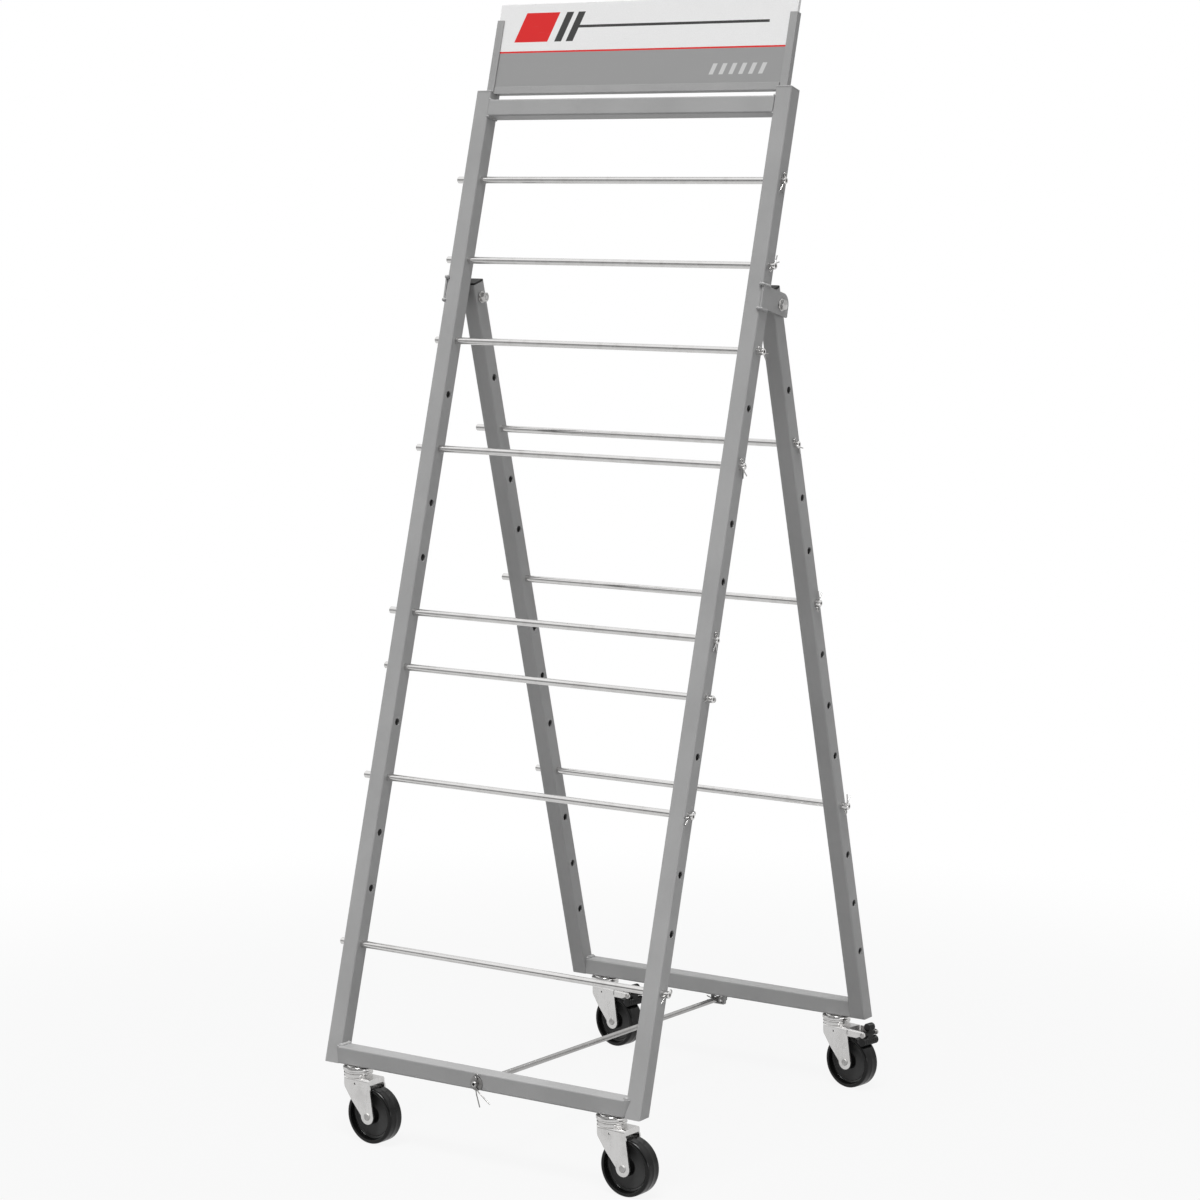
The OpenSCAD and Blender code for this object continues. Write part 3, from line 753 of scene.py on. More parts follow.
class WeldTree(GeometryTree):
    """A weld bead: overlapping flat drops along each line of the mesh."""

    VARY = (0.82, 1.18)
    OVERLAP = 1.25

    def __init__(self) -> None:
        """Builds the tree."""
        super().__init__("weld_bead", [
            ("Step", "NodeSocketFloat"), ("Width", "NodeSocketFloat"),
            ("Height", "NodeSocketFloat"), ("Seed", "NodeSocketInt"),
            ("Material", "NodeSocketMaterial")])
        line = self.node("GeometryNodeMeshToCurve", {}, {0: self.input("Geometry")})
        dots = self.node("GeometryNodeResampleCurve", {"mode": "LENGTH"},
                         {0: line, 3: self.input("Step")})
        drop = self.node("GeometryNodeMeshIcoSphere", {}, {0: 1.0, 1: 2})
        along = self.node("FunctionNodeAlignRotationToVector", {"axis": "X"},
                          {2: self.node("GeometryNodeInputTangent")})
        vary = self.node("FunctionNodeRandomValue", {"data_type": "FLOAT"},
                         {2: self.VARY[0], 3: self.VARY[1], 8: self.input("Seed")}, 1)
        size = self.node("ShaderNodeCombineXYZ", {}, {
            0: self.input("Step") * self.OVERLAP, 1: self.input("Width") * 0.5 * vary,
            2: self.input("Height") * 0.5 * vary})
        beads = self.node("GeometryNodeInstanceOnPoints", {},
                          {0: dots, 2: drop, 5: along, 6: size})
        self.close(beads)


class SetOutTree(GeometryTree):
    """Sets copies of one form out on points, each turned by the point's own turn."""

    def __init__(self) -> None:
        """Builds the tree."""
        super().__init__("set_out", [("Form", "NodeSocketObject"), ("Scale", "NodeSocketFloat"),
                                     ("Material", "NodeSocketMaterial")])
        form = self.node("GeometryNodeObjectInfo", {"transform_space": "ORIGINAL"},
                         {0: self.input("Form")}, "Geometry")
        turn = self.node("GeometryNodeInputNamedAttribute", {"data_type": "FLOAT_VECTOR"},
                         {0: "turn"})
        turned = self.node("FunctionNodeEulerToRotation", {}, {0: turn})
        size = self.node("ShaderNodeCombineXYZ", {}, {
            0: self.input("Scale"), 1: self.input("Scale"), 2: self.input("Scale")})
        self.close(self.node("GeometryNodeInstanceOnPoints", {},
                             {0: self.input("Geometry"), 2: form, 5: turned, 6: size}))

    def set_out(self, name: str, form: bpy.types.Mesh, places: Sequence[Matrix],
                finish: Finish) -> bpy.types.Mesh:
        """Sets a form out.

        Args:
            name: Name of the result.
            form: The mesh that is repeated.
            places: Where each copy goes.
            finish: The finish of all copies.

        Returns:
            One plain mesh of all copies.
        """
        points = bpy.data.meshes.new(name + "_points")
        points.from_pydata([m.translation for m in places], [], [])
        turns = points.attributes.new("turn", "FLOAT_VECTOR", "POINT")
        for i, m in enumerate(places):
            turns.data[i].vector = m.to_euler()
        carrier = bpy.data.objects.new(name + "_form", form)
        bpy.context.scene.collection.objects.link(carrier)
        made = self.run(name, points, {"Form": carrier, "Scale": 1.0,
                                       "Material": finish.material()})
        bpy.data.objects.remove(carrier)
        return made


class WireTree(GeometryTree):
    """Draws round wire along each line of the mesh, with its corners bent to a radius."""

    SIDES = 10
    BEND_STEPS = 4

    def __init__(self) -> None:
        """Builds the tree."""
        super().__init__("bent_wire", [("Wire", "NodeSocketFloat"), ("Bend", "NodeSocketFloat"),
                                       ("Material", "NodeSocketMaterial")])
        line = self.node("GeometryNodeMeshToCurve", {}, {0: self.input("Geometry")})
        bent = self.node("GeometryNodeFilletCurve", {"mode": "POLY"},
                         {0: line, 1: self.BEND_STEPS, 2: self.input("Bend"), 3: True})
        ring = self.node("GeometryNodeCurvePrimitiveCircle", {},
                         {0: self.SIDES, 4: self.input("Wire") * 0.5})
        self.close(self.node("GeometryNodeCurveToMesh", {}, {0: bent, 1: ring, 3: True}))


# ----------------------------------------------------------- the carrier's parts


@dataclass(frozen=True)
class Slope:
    """A leaning frame's own axes: x across, w through its depth and v up its slope."""

    y: float
    z: float
    lean: float

    def matrix(self) -> Matrix:
        """From the frame's own axes to the model's."""
        return (Matrix.Translation((0.0, self.y, self.z))
                @ Matrix.Rotation(-math.radians(self.lean), 4, "X"))

    def at(self, x: float, w: float, v: float) -> Vector:
        """A point of the frame in the model's axes."""
        return self.matrix() @ Vector((x, w, v))


@dataclass(frozen=True)
class Layout:
    """Sizes of the carrier that the pieces share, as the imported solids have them."""

    half: float = 264 * MM
    rear_half: float = 262 * MM
    tube: float = 25 * MM
    base: float = 107 * MM
    front_y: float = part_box("front_bottom_rail")[0].y
    rear_y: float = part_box("rear_bottom_rail")[0].y
    front_lean: float = 15.0
    rear_lean: float = -16.0
    upright: float = 1420 * MM
    top_drop: float = 11 * MM
    pitch: float = 80 * MM
    front_first: float = 171 * MM
    rear_first: float = 110 * MM
    rod: float = 10 * MM
    hinge_back: float = 53 * MM
    hinge_share: float = 11.94
    front_castor: float = 213 * MM
    rear_castor: float = 208 * MM
    front_turn: float = -4.0
    rear_turn: float = -11.0
    trail: float = 30.5 * MM
    axle_z: float = -67 * MM
    fork_half: float = 17.1 * MM
    pedal_x: float = 63 * MM
    pedal_z: float = -19.5 * MM
    tie_sag: float = 3.2 * MM
    tie_drop: float = 8 * MM
    tie_front_pin: float = -653.4 * MM

    @property
    def front(self) -> Slope:
        """The front frame's axes."""
        return Slope(self.front_y, self.base, self.front_lean)

    @property
    def rear(self) -> Slope:
        """The rear frame's axes."""
        return Slope(self.rear_y, self.base, self.rear_lean)

    @property
    def hinge_v(self) -> float:
        """Height of the hinge up the front slope."""
        return self.front_first + self.hinge_share * self.pitch

    def hinge(self, side: Side) -> Matrix:
        """The hinge's own axes, with z outward from the side of the front upright."""
        at = self.front.at(side.value * self.half, self.hinge_back, self.hinge_v)
        return Matrix.Translation(at) @ Matrix.Rotation(side.value * math.pi / 2, 4, "Y")

    def castor(self, end: End, side: Side) -> Matrix:
        """A castor's own axes: z on the swivel axis, x towards the axle, zero under the rail.

        Args:
            end: The frame that it stands under.
            side: Its side of the carrier.

        Returns:
            From those axes to the model's.
        """
        front = end is End.FRONT
        x = side.value * (self.front_castor if front else self.rear_castor)
        y = (self.front_y if front else self.rear_y) + self.tube / 2
        turn = math.radians(self.front_turn if front else self.rear_turn)
        return Matrix.Translation((x, y, self.base)) @ Matrix.Rotation(turn, 4, "Z")

    @property
    def tie(self) -> Matrix:
        """The tie rod's own axes: y along it, zero at the saddle.

        Returns:
            From those axes to the model's.
        """
        rise = math.atan2(self.tube / 2 - self.tie_sag + self.tie_drop, self.rear_y - self.front_y)
        return (Matrix.Translation((0.0, self.rear_y + self.tube / 2, self.base - self.tie_drop))
                @ Matrix.Rotation(-rise, 4, "X"))


LAYOUT = Layout()


SIGN_FOOT = LAYOUT.front.at(0, LAYOUT.tube / 2, 1422.8 * MM)
SIGN_PRINT = SignPrint("printed_board", foot_y=SIGN_FOOT.y, foot_z=SIGN_FOOT.z)


@dataclass
class Dressing:
    """Finishes of the solids, by the first part of a name that fits."""

    kinds: tuple[tuple[str, Finish], ...] = (
        ("rod_pins", WIRE_ZINC), ("split_pins", WIRE_ZINC), ("tie_rod_saddle", PAINT),
        ("tie_rod_washer", DULL_ZINC), ("tie_rod", TIE_ZINC), ("_rod_", DRAWN_ZINC),
        ("hinge_plate", PAINT), ("hinge_", BOLT_ZINC), ("nuts", BOLT_ZINC),
        ("wheel", WHEEL_BLACK), ("pedal_pin", RIVET_ZINC), ("pedal", PEDAL_BLACK),
        ("plugs", PLUG_BLACK), ("fork", PRESSED_ZINC), ("castor_head", HEAD_ZINC),
        ("axle", RIVET_ZINC), ("sign_panel", SIGN_PRINT))
    rest: Finish = PAINT

    def finish_of(self, node: str) -> Finish:
        """The finish of a node by its name."""
        return next((finish for part, finish in self.kinds if part in node), self.rest)

    def dress(self) -> None:
        """Gives every node its finish."""
        for name, node in frame["nodes"].items():
            finish = self.finish_of(name)
            for slot in node.material_slots:
                slot.material = finish.material()
            if not node.material_slots:
                node.data.materials.append(finish.material())
            LOG.info("%s is finished in %s", name, finish.name)


@dataclass
class Welds:
    """Weld beads where the tubes and plates meet."""

    step: float = 1.5 * MM
    seam: Point2 = (5.0 * MM, 3.4 * MM)
    fillet: Point2 = (8.5 * MM, 6.0 * MM)
    blob: Point2 = (6.5 * MM, 5.4 * MM)
    inset: float = 1.5 * MM
    plate_tilt: float = math.radians(2.5)
    plate_high: float = 16.8 * MM
    plate_rise: float = 1.5 * MM
    plate_path: tuple[Point2, ...] = ((-2.2, -0.4), (0.4, -0.2), (1.0, 2.0), (1.0, 17.0))
    fill_rows: int = 6
    fill_low: float = 0.1
    fill_span: float = 0.88
    fill_swell: float = 0.12
    fill_run: float = 1.1
    smooth: float = 60.0

    def _slope_seams(self, slope: Slope, half: float, low: float) -> list[list[Vector]]:
        """Seams round both ends of a rail that lies along the slope.

        Args:
            slope: The frame that the rail is in.
            half: Half the width over the tubes.
            low: Lower edge of the rail up the slope.

        Returns:
            Lines above and below each end.
        """
        tube = LAYOUT.tube
        return [[slope.at(side.value * (half - tube), w, v)
                 for w in (self.inset, tube - self.inset)]
                for side in Side for v in (low, low + tube)]

    def _level_seams(self, slope: Slope, half: float) -> list[list[Vector]]:
        """Seams on top of both ends of a level rail, where it meets the leaning tubes.

        Args:
            slope: The frame that the rail is in.
            half: Half the width over the tubes.

        Returns:
            One line per end, over the rail.
        """
        tube = LAYOUT.tube
        near = self._tube_face(slope, tube)
        far = tube - 2.0 * MM if slope.lean > 0 else 2.0 * MM
        return [[Vector((side.value * (half - tube - 0.5 * MM), slope.y + w, slope.z + tube))
                 for w in (near, far)] for side in Side]

    def _tube_face(self, slope: Slope, up: float) -> float:
        """Depth of the outer face of a leaning tube.

        Args:
            slope: The frame that the tube is in.
            up: Height above its foot.

        Returns:
            The depth at that height.
        """
        lean = math.radians(slope.lean)
        start = 0.0 if slope.lean > 0 else LAYOUT.tube / math.cos(lean)
        return start + up * math.tan(lean)

    def _fill(self, form: Form, slope: Slope, half: float) -> None:
        """Fills the wedges between the ends of a level rail and the leaning tubes.

        Args:
            form: The form to fill.
            slope: The frame that the rail is in.
            half: Half the width over the tubes.
        """
        tube = LAYOUT.tube
        edge = 0.0 if slope.lean > 0 else tube
        for side in Side:
            points = []
            for k in range(self.fill_rows):
                up = tube * (self.fill_low + self.fill_span * k / (self.fill_rows - 1))
                deep = self._tube_face(slope, up)
                run = deep - edge
                for share in (0.0, 0.3, 0.6, 1.0):
                    swell = self.fill_swell * abs(run) * math.sin(math.pi * share)
                    wide = abs(run) * self.fill_run * share + swell
                    points.append((side.value * (half - tube + wide),
                                   edge + run * share - math.copysign(swell, run), up))
                points.append((side.value * (half - tube), deep, up))
            made = [form.bm.verts.new((x, slope.y + w, slope.z + v)) for x, w, v in points]
            bmesh.ops.convex_hull(form.bm, input=made)

    def _mesh(self, lines: Sequence[Sequence[Vector]]) -> bpy.types.Mesh:
        """Lines as a mesh of edges.

        Args:
            lines: The points of each line.

        Returns:
            The mesh.
        """
        points, edges = [], []
        for line in lines:
            start = len(points)
            points += [tuple(p) for p in line]
            edges += [(start + i, start + i + 1) for i in range(len(line) - 1)]
        made = bpy.data.meshes.new("weld_lines")
        made.from_pydata(points, edges, [])
        return made

    def _plate_seams(self, side: Side) -> list[list[Vector]]:
        """Short seams over and under a hinge plate, each begun on the front edge of the tube.

        Args:
            side: The side of the carrier.

        Returns:
            One bent line per seam.
        """
        tilt, back = self.plate_tilt, LAYOUT.hinge_back
        lines = []
        for edge in (-self.plate_high, self.plate_high):
            ends = []
            for out, y in self.plate_path:
                dy, z = y * MM - back, edge + self.plate_rise
                ends.append(LAYOUT.front.at(
                    side.value * (LAYOUT.half + out * MM),
                    back + dy * math.cos(tilt) - z * math.sin(tilt),
                    LAYOUT.hinge_v + dy * math.sin(tilt) + z * math.cos(tilt)))
            lines.append(ends)
        return lines

    def build(self) -> None:
        """Makes the beads of both frames."""
        tree = WeldTree()
        top = LAYOUT.upright - LAYOUT.top_drop
        rails = self._slope_seams(LAYOUT.front, LAYOUT.half, top - LAYOUT.tube)
        plates = [line for side in Side for line in self._plate_seams(side)]
        low = self._level_seams(LAYOUT.front, LAYOUT.half)
        back = self._level_seams(LAYOUT.rear, LAYOUT.rear_half)
        ends = (Vector((0.0, -1.5 * MM, -0.5 * MM)), Vector((0.0, 1.5 * MM, 0.0)))
        starts = [[line[0] + end for end in ends] for line in low]
        for body, slope, half, groups in (
                (Body.FRONT, LAYOUT.front, LAYOUT.half,
                 ((rails, self.seam), (plates, self.blob), (low, self.fillet),
                  (starts, self.fillet))),
                (Body.REAR, LAYOUT.rear, LAYOUT.rear_half, ((back, self.fillet),))):
            form = Form()
            for seed, (lines, size) in enumerate(groups):
                form.bm.from_mesh(tree.run(body.value + "_beads", self._mesh(lines), {
                    "Step": self.step, "Width": size[0], "Height": size[1], "Seed": 3 + 5 * seed,
                    "Material": PAINT.material()}))
            self._fill(form, slope, half)
            name = body.value + "_welds"
            show(name, form.mesh(name, PAINT, self.smooth), body.value)


@dataclass
class SoftEdges:
    """Copies of pressed, cut and moulded pieces with broken edges, in place of the sharp solids."""

    sizes: dict[str, float] = field(default_factory=lambda: {
        "fork": 0.6 * MM, "hinge_plate": 0.7 * MM, "sign_sill": 0.45 * MM,
        "sign_left_post": 0.45 * MM, "sign_right_post": 0.45 * MM, "sign_panel": 0.6 * MM,
        "upright_caps": 0.9 * MM, "rear_leg_plugs": 1.1 * MM, "tie_rod_saddle": 0.6 * MM,
        "tie_rod_washer": 0.25 * MM})
    flat: float = math.radians(0.4)
    sharp: float = math.radians(30)
    smooth: float = 60.0
    cuts: int = 3

    def build(self) -> None:
        """Makes a copy of each node that has a size."""
        for name in list(frame["nodes"]):
            width = next((w for part, w in self.sizes.items() if name.endswith(part)), None)
            if width:
                self._copy(name, width)

    def _copy(self, name: str, width: float) -> None:
        """Stands a soft copy in for a node.

        Args:
            name: The node's name.
            width: Width of the broken edge.
        """
        finish = Dressing().finish_of(name)
        form = Form()
        form.bm.from_mesh(frame["nodes"][name].data)
        bmesh.ops.remove_doubles(form.bm, verts=form.bm.verts, dist=JOIN * 10)
        bmesh.ops.dissolve_limit(form.bm, angle_limit=self.flat, verts=form.bm.verts,
                                 edges=form.bm.edges)
        sharp = [e for e in form.bm.edges
                 if len(e.link_faces) == 2 and e.calc_face_angle(0.0) > self.sharp]
        bmesh.ops.bevel(form.bm, geom=sharp, offset=width, offset_type="OFFSET",
                        segments=self.cuts, profile=0.5, affect="EDGES", clamp_overlap=True)
        piece = show(name + "_soft", form.mesh(name + "_soft", finish, self.smooth),
                     body_of(name), [name])
        even = piece.modifiers.new("even", "WEIGHTED_NORMAL")
        even.keep_sharp = True


@dataclass
class SplitPins:
    """Split pins of bent wire: an eye above the rod and two spread legs below it.

    Each rod has its height in hole pitches, its pin's turn in degrees and its slide in mm.
    """

    wire: float = 1.68 * MM
    eye: float = 2.8 * MM
    eye_steps: int = 18
    bend: float = 1.2 * MM
    gap: float = 0.5 * MM
    second: float = 0.92
    knee: Point2 = (0.35, 0.8)
    tip: Point2 = (1.06, 0.97)
    leg: float = 13 * MM
    spread: Point2 = (22.0, -20.0)
    front_rods: tuple[RodSet, ...] = (
        (14, -5, 0.7), (12.5, 140, 3.7), (11, 75, 5.5), (9, 35, 2.0),
        (6, 5, 0.0), (5, -90, 6.3), (3, -60, 1.2), (0, -62, 5.4))
    rear_rods: tuple[RodSet, ...] = ((10, 35, 0.5), (7, 150, 2.9), (3, 145, 7.0))
    out: float = 1.6 * MM
    tie_rod: float = 8 * MM
    saddle_spread: Point2 = (13.0, -11.0)
    saddle_step: float = 7.6 * MM
    tie_leg: float = 32 * MM
    tie_spread: Point2 = (-54.0, -20.0)
    tie_lift: float = 4.0 * MM
    tie_turn: float = math.radians(6)

    def form(self, tree: WireTree, name: str, rod: float, leg: float, bends: Point2,
             lift: float = 0.0, finish: Finish = WIRE_ZINC) -> bpy.types.Mesh:
        """One pin through a rod that lies along x.

        Args:
            tree: The tree that draws the wire.
            name: Name of the mesh.
            rod: Diameter of the rod.
            leg: Length of a leg below the rod.
            bends: Angle of each leg from straight down towards +y, in degrees.
            lift: How far the eye stands off the rod.
            finish: Its finish.

        Returns:
            The wire's mesh, with the eye on +z.
        """
        near, top = self.gap, rod / 2 + self.wire / 2 + lift
        first, last = (self._leg(near * s, -rod / 2, leg * part, bend)
                       for s, part, bend in zip((1, -1), (1.0, self.second), bends))
        turn = math.asin(near / self.eye)
        ring = [-math.pi / 2 + turn + (math.tau - 2 * turn) * k / self.eye_steps
                for k in range(self.eye_steps + 1)]
        path = list(reversed(first)) + [(near, top)]
        path += [(self.eye * math.cos(a), top + self.eye + self.eye * math.sin(a)) for a in ring]
        path += [(-near, top)] + last
        lines = bpy.data.meshes.new(name + "_line")
        lines.from_pydata([(0.0, y, z) for y, z in path],
                          [(i, i + 1) for i in range(len(path) - 1)], [])
        return tree.run(name, lines, {"Wire": self.wire, "Bend": self.bend,
                                      "Material": finish.material()})

    def _leg(self, y: float, z: float, leg: float, bend: float) -> list[Point2]:
        """A leg from the rod down, bent out to a knee and a little more to its tip.

        Args:
            y: Where it leaves the rod, across.
            z: Where it leaves the rod, up.
            leg: Its length.
            bend: Its angle from straight down towards +y, in degrees.

        Returns:
            Its points.
        """
        a, knee = math.radians(bend), leg * self.knee[0]
        out, down = self.tip
        return [(y, z), (y + knee * math.sin(a) * self.knee[1], z - knee * math.cos(a)),
                (y + leg * math.sin(a) * out, z - leg * math.cos(a) * down)]

    def _row(self, slope: Slope, half: float, first: float,
             rods: Sequence[RodSet]) -> list[Matrix]:
        """Places of the pins of one frame.

        Args:
            slope: The frame's axes.
            half: Half the width over the tubes.
            first: Height of the lowest hole up the slope.
            rods: The rods' heights, turns and slides.

        Returns:
            The places.
        """
        return [slope.matrix() @ Matrix.Translation(
            (half + self.out + slide * MM, LAYOUT.tube / 2, first + LAYOUT.pitch * step))
            @ Matrix.Rotation(math.radians(turn), 4, "X")
            for step, turn, slide in rods]

    def build(self) -> None:
        """Makes the pins of both frames and of the tie rod."""
        wire, tree = WireTree(), SetOutTree()
        rod_pin = self.form(wire, "rod_pin", LAYOUT.rod, self.leg, self.spread)
        front = self._row(LAYOUT.front, LAYOUT.half, LAYOUT.front_first, self.front_rods)
        rear = self._row(LAYOUT.rear, LAYOUT.rear_half, LAYOUT.rear_first, self.rear_rods)
        for name, body, places in (("front_split_pins", Body.FRONT, front),
                                   ("rear_split_pins", Body.REAR, rear)):
            mesh = tree.set_out(name + "_wire", rod_pin, places, WIRE_ZINC)
            show(name + "_wire", mesh, body.value, [name])
        self._tie(wire, tree)

    def _tie(self, wire: WireTree, tree: SetOutTree) -> None:
        """Makes the three pins of the tie rod as one mesh.

        Args:
            wire: The tree that draws the wire.
            tree: The tree that sets the pins out.
        """
        across = Matrix.Rotation(math.pi / 2, 4, "Z")
        short = self.form(wire, "saddle_pin", self.tie_rod, self.leg, self.saddle_spread, 0.0,
                          DULL_ZINC)
        long = self.form(wire, "tie_pin", self.tie_rod, self.tie_leg, self.tie_spread,
                         self.tie_lift, DULL_ZINC)
        flat = [LAYOUT.tie @ Matrix.Translation((0.0, along, 0.0))
                @ Matrix.Rotation(math.pi / 2, 4, "Y") @ across
                for along in (-self.saddle_step, self.saddle_step)]
        hung = (LAYOUT.tie @ Matrix.Translation((0.0, LAYOUT.tie_front_pin, 0.0))
                @ Matrix.Rotation(self.tie_turn, 4, "Y") @ across)
        form = Form()
        form.bm.from_mesh(tree.set_out("tie_pins_flat", short, flat, DULL_ZINC))
        form.bm.from_mesh(tree.set_out("tie_pins_hung", long, [hung], DULL_ZINC))
        show("tie_rod_pins_wire", form.mesh("tie_rod_pins_wire", DULL_ZINC), Body.TIE.value,
             ["tie_rod_pins"])


@dataclass
class HingeFixings:
    """Bolts, washers and nuts of the hinge, with turned chamfers and thread ends."""

    across: float = 13 * MM
    bolt: float = 8 * MM
    head: Point2 = (4.6 * MM, 10.1 * MM)
    thread: Point2 = (-28.0 * MM, -35.4 * MM)
    lead: float = 1.1 * MM
    tip: float = -36.4 * MM
    nut: Point2 = (-36.0 * MM, -29.0 * MM)
    washer: float = 17 * MM
    washer_thick: float = 1.6 * MM
    washer_lows: tuple[float, ...] = (3.0 * MM, -1.6 * MM, -29.0 * MM)
    hex_turns: int = 72
    bolt_turns: int = 40
    washer_turns: int = 56
    sharp: float = 30.0

    def _hex(self, form: Form, low: float, high: float, bore: float, both: bool) -> None:
        """Adds a six-sided block whose corners are turned down at the top, or at both ends.

        Args:
            form: The form to fill.
            low: Lower face.
            high: Upper face.
            bore: Radius of the hole; 0 closes the block.
            both: Turns the lower corners down too.
        """
        flat, count = self.across / 2, self.hex_turns
        face = flat * 0.95
        rows = []
        for i in range(count):
            a = math.tau * i / count
            r = flat / math.cos((a + math.pi / 6) % (math.pi / 3) - math.pi / 6)
            drop = (r - face) * 0.55
            line = [(bore, low), (face, low), (r, low + (drop if both else 0.0)),
                    (r, high - drop), (face, high), (bore + 0.4 * MM, high),
                    (bore, high - (0.3 * MM if bore else 0.0))]
            rows.append([Vector((p * math.cos(a), p * math.sin(a), z)) for p, z in line])
        form.grid(rows, round_rows=True, round_cols=bool(bore))

    def _bolt(self) -> Form:
        """A bolt: head outside, shank, and a thread where it comes out of the nut.

        Returns:
            The bolt, with its axis on z.
        """
        form, r = Form(), self.bolt / 2
        self._hex(form, *self.head, 0.0, False)
        root = self.head[0] + 0.4 * MM
        z, last = self.thread
        line = [(0.0, root), (r, root), (r, z)]
        while z > last:
            line += [(r, z - 0.35 * MM), (r - 0.45 * MM, z - 0.75 * MM)]
            z -= self.lead
        line += [(r - 0.5 * MM, self.tip + 0.4 * MM), (r - 0.9 * MM, self.tip), (0.0, self.tip)]
        form.lathe(line, self.bolt_turns, Matrix())
        return form

    def _washers(self) -> Form:
        """Three washers: under the head, between the frames and under the nut.

        Returns:
            The washers of one hinge, with their axis on z.
        """
        form, inner, outer = Form(), self.bolt / 2 + 0.25 * MM, self.washer / 2
        soft = 0.25 * MM
        for low in self.washer_lows:
            high = low + self.washer_thick
            form.lathe([(inner, low), (outer - soft, low), (outer, low + soft),
                        (outer, high - soft), (outer - soft, high), (inner + soft, high),
                        (inner, high - soft), (inner, low)], self.washer_turns, Matrix())
        return form

    def build(self) -> None:
        """Makes the three kinds on both sides."""
        tree = SetOutTree()
        nut = Form()
        self._hex(nut, *self.nut, self.bolt / 2 + 0.05 * MM, True)
        places = [LAYOUT.hinge(side) for side in Side]
        for name, form in (("hinge_bolts", self._bolt()), ("hinge_washers", self._washers()),
                           ("hinge_nuts", nut)):
            mesh = tree.set_out(name + "_turned", form.mesh(name + "_form", BOLT_ZINC, self.sharp),
                                places, BOLT_ZINC)
            mesh.set_sharp_from_angle(angle=math.radians(self.sharp))
            show(name + "_turned", mesh, body_of(name), [name])


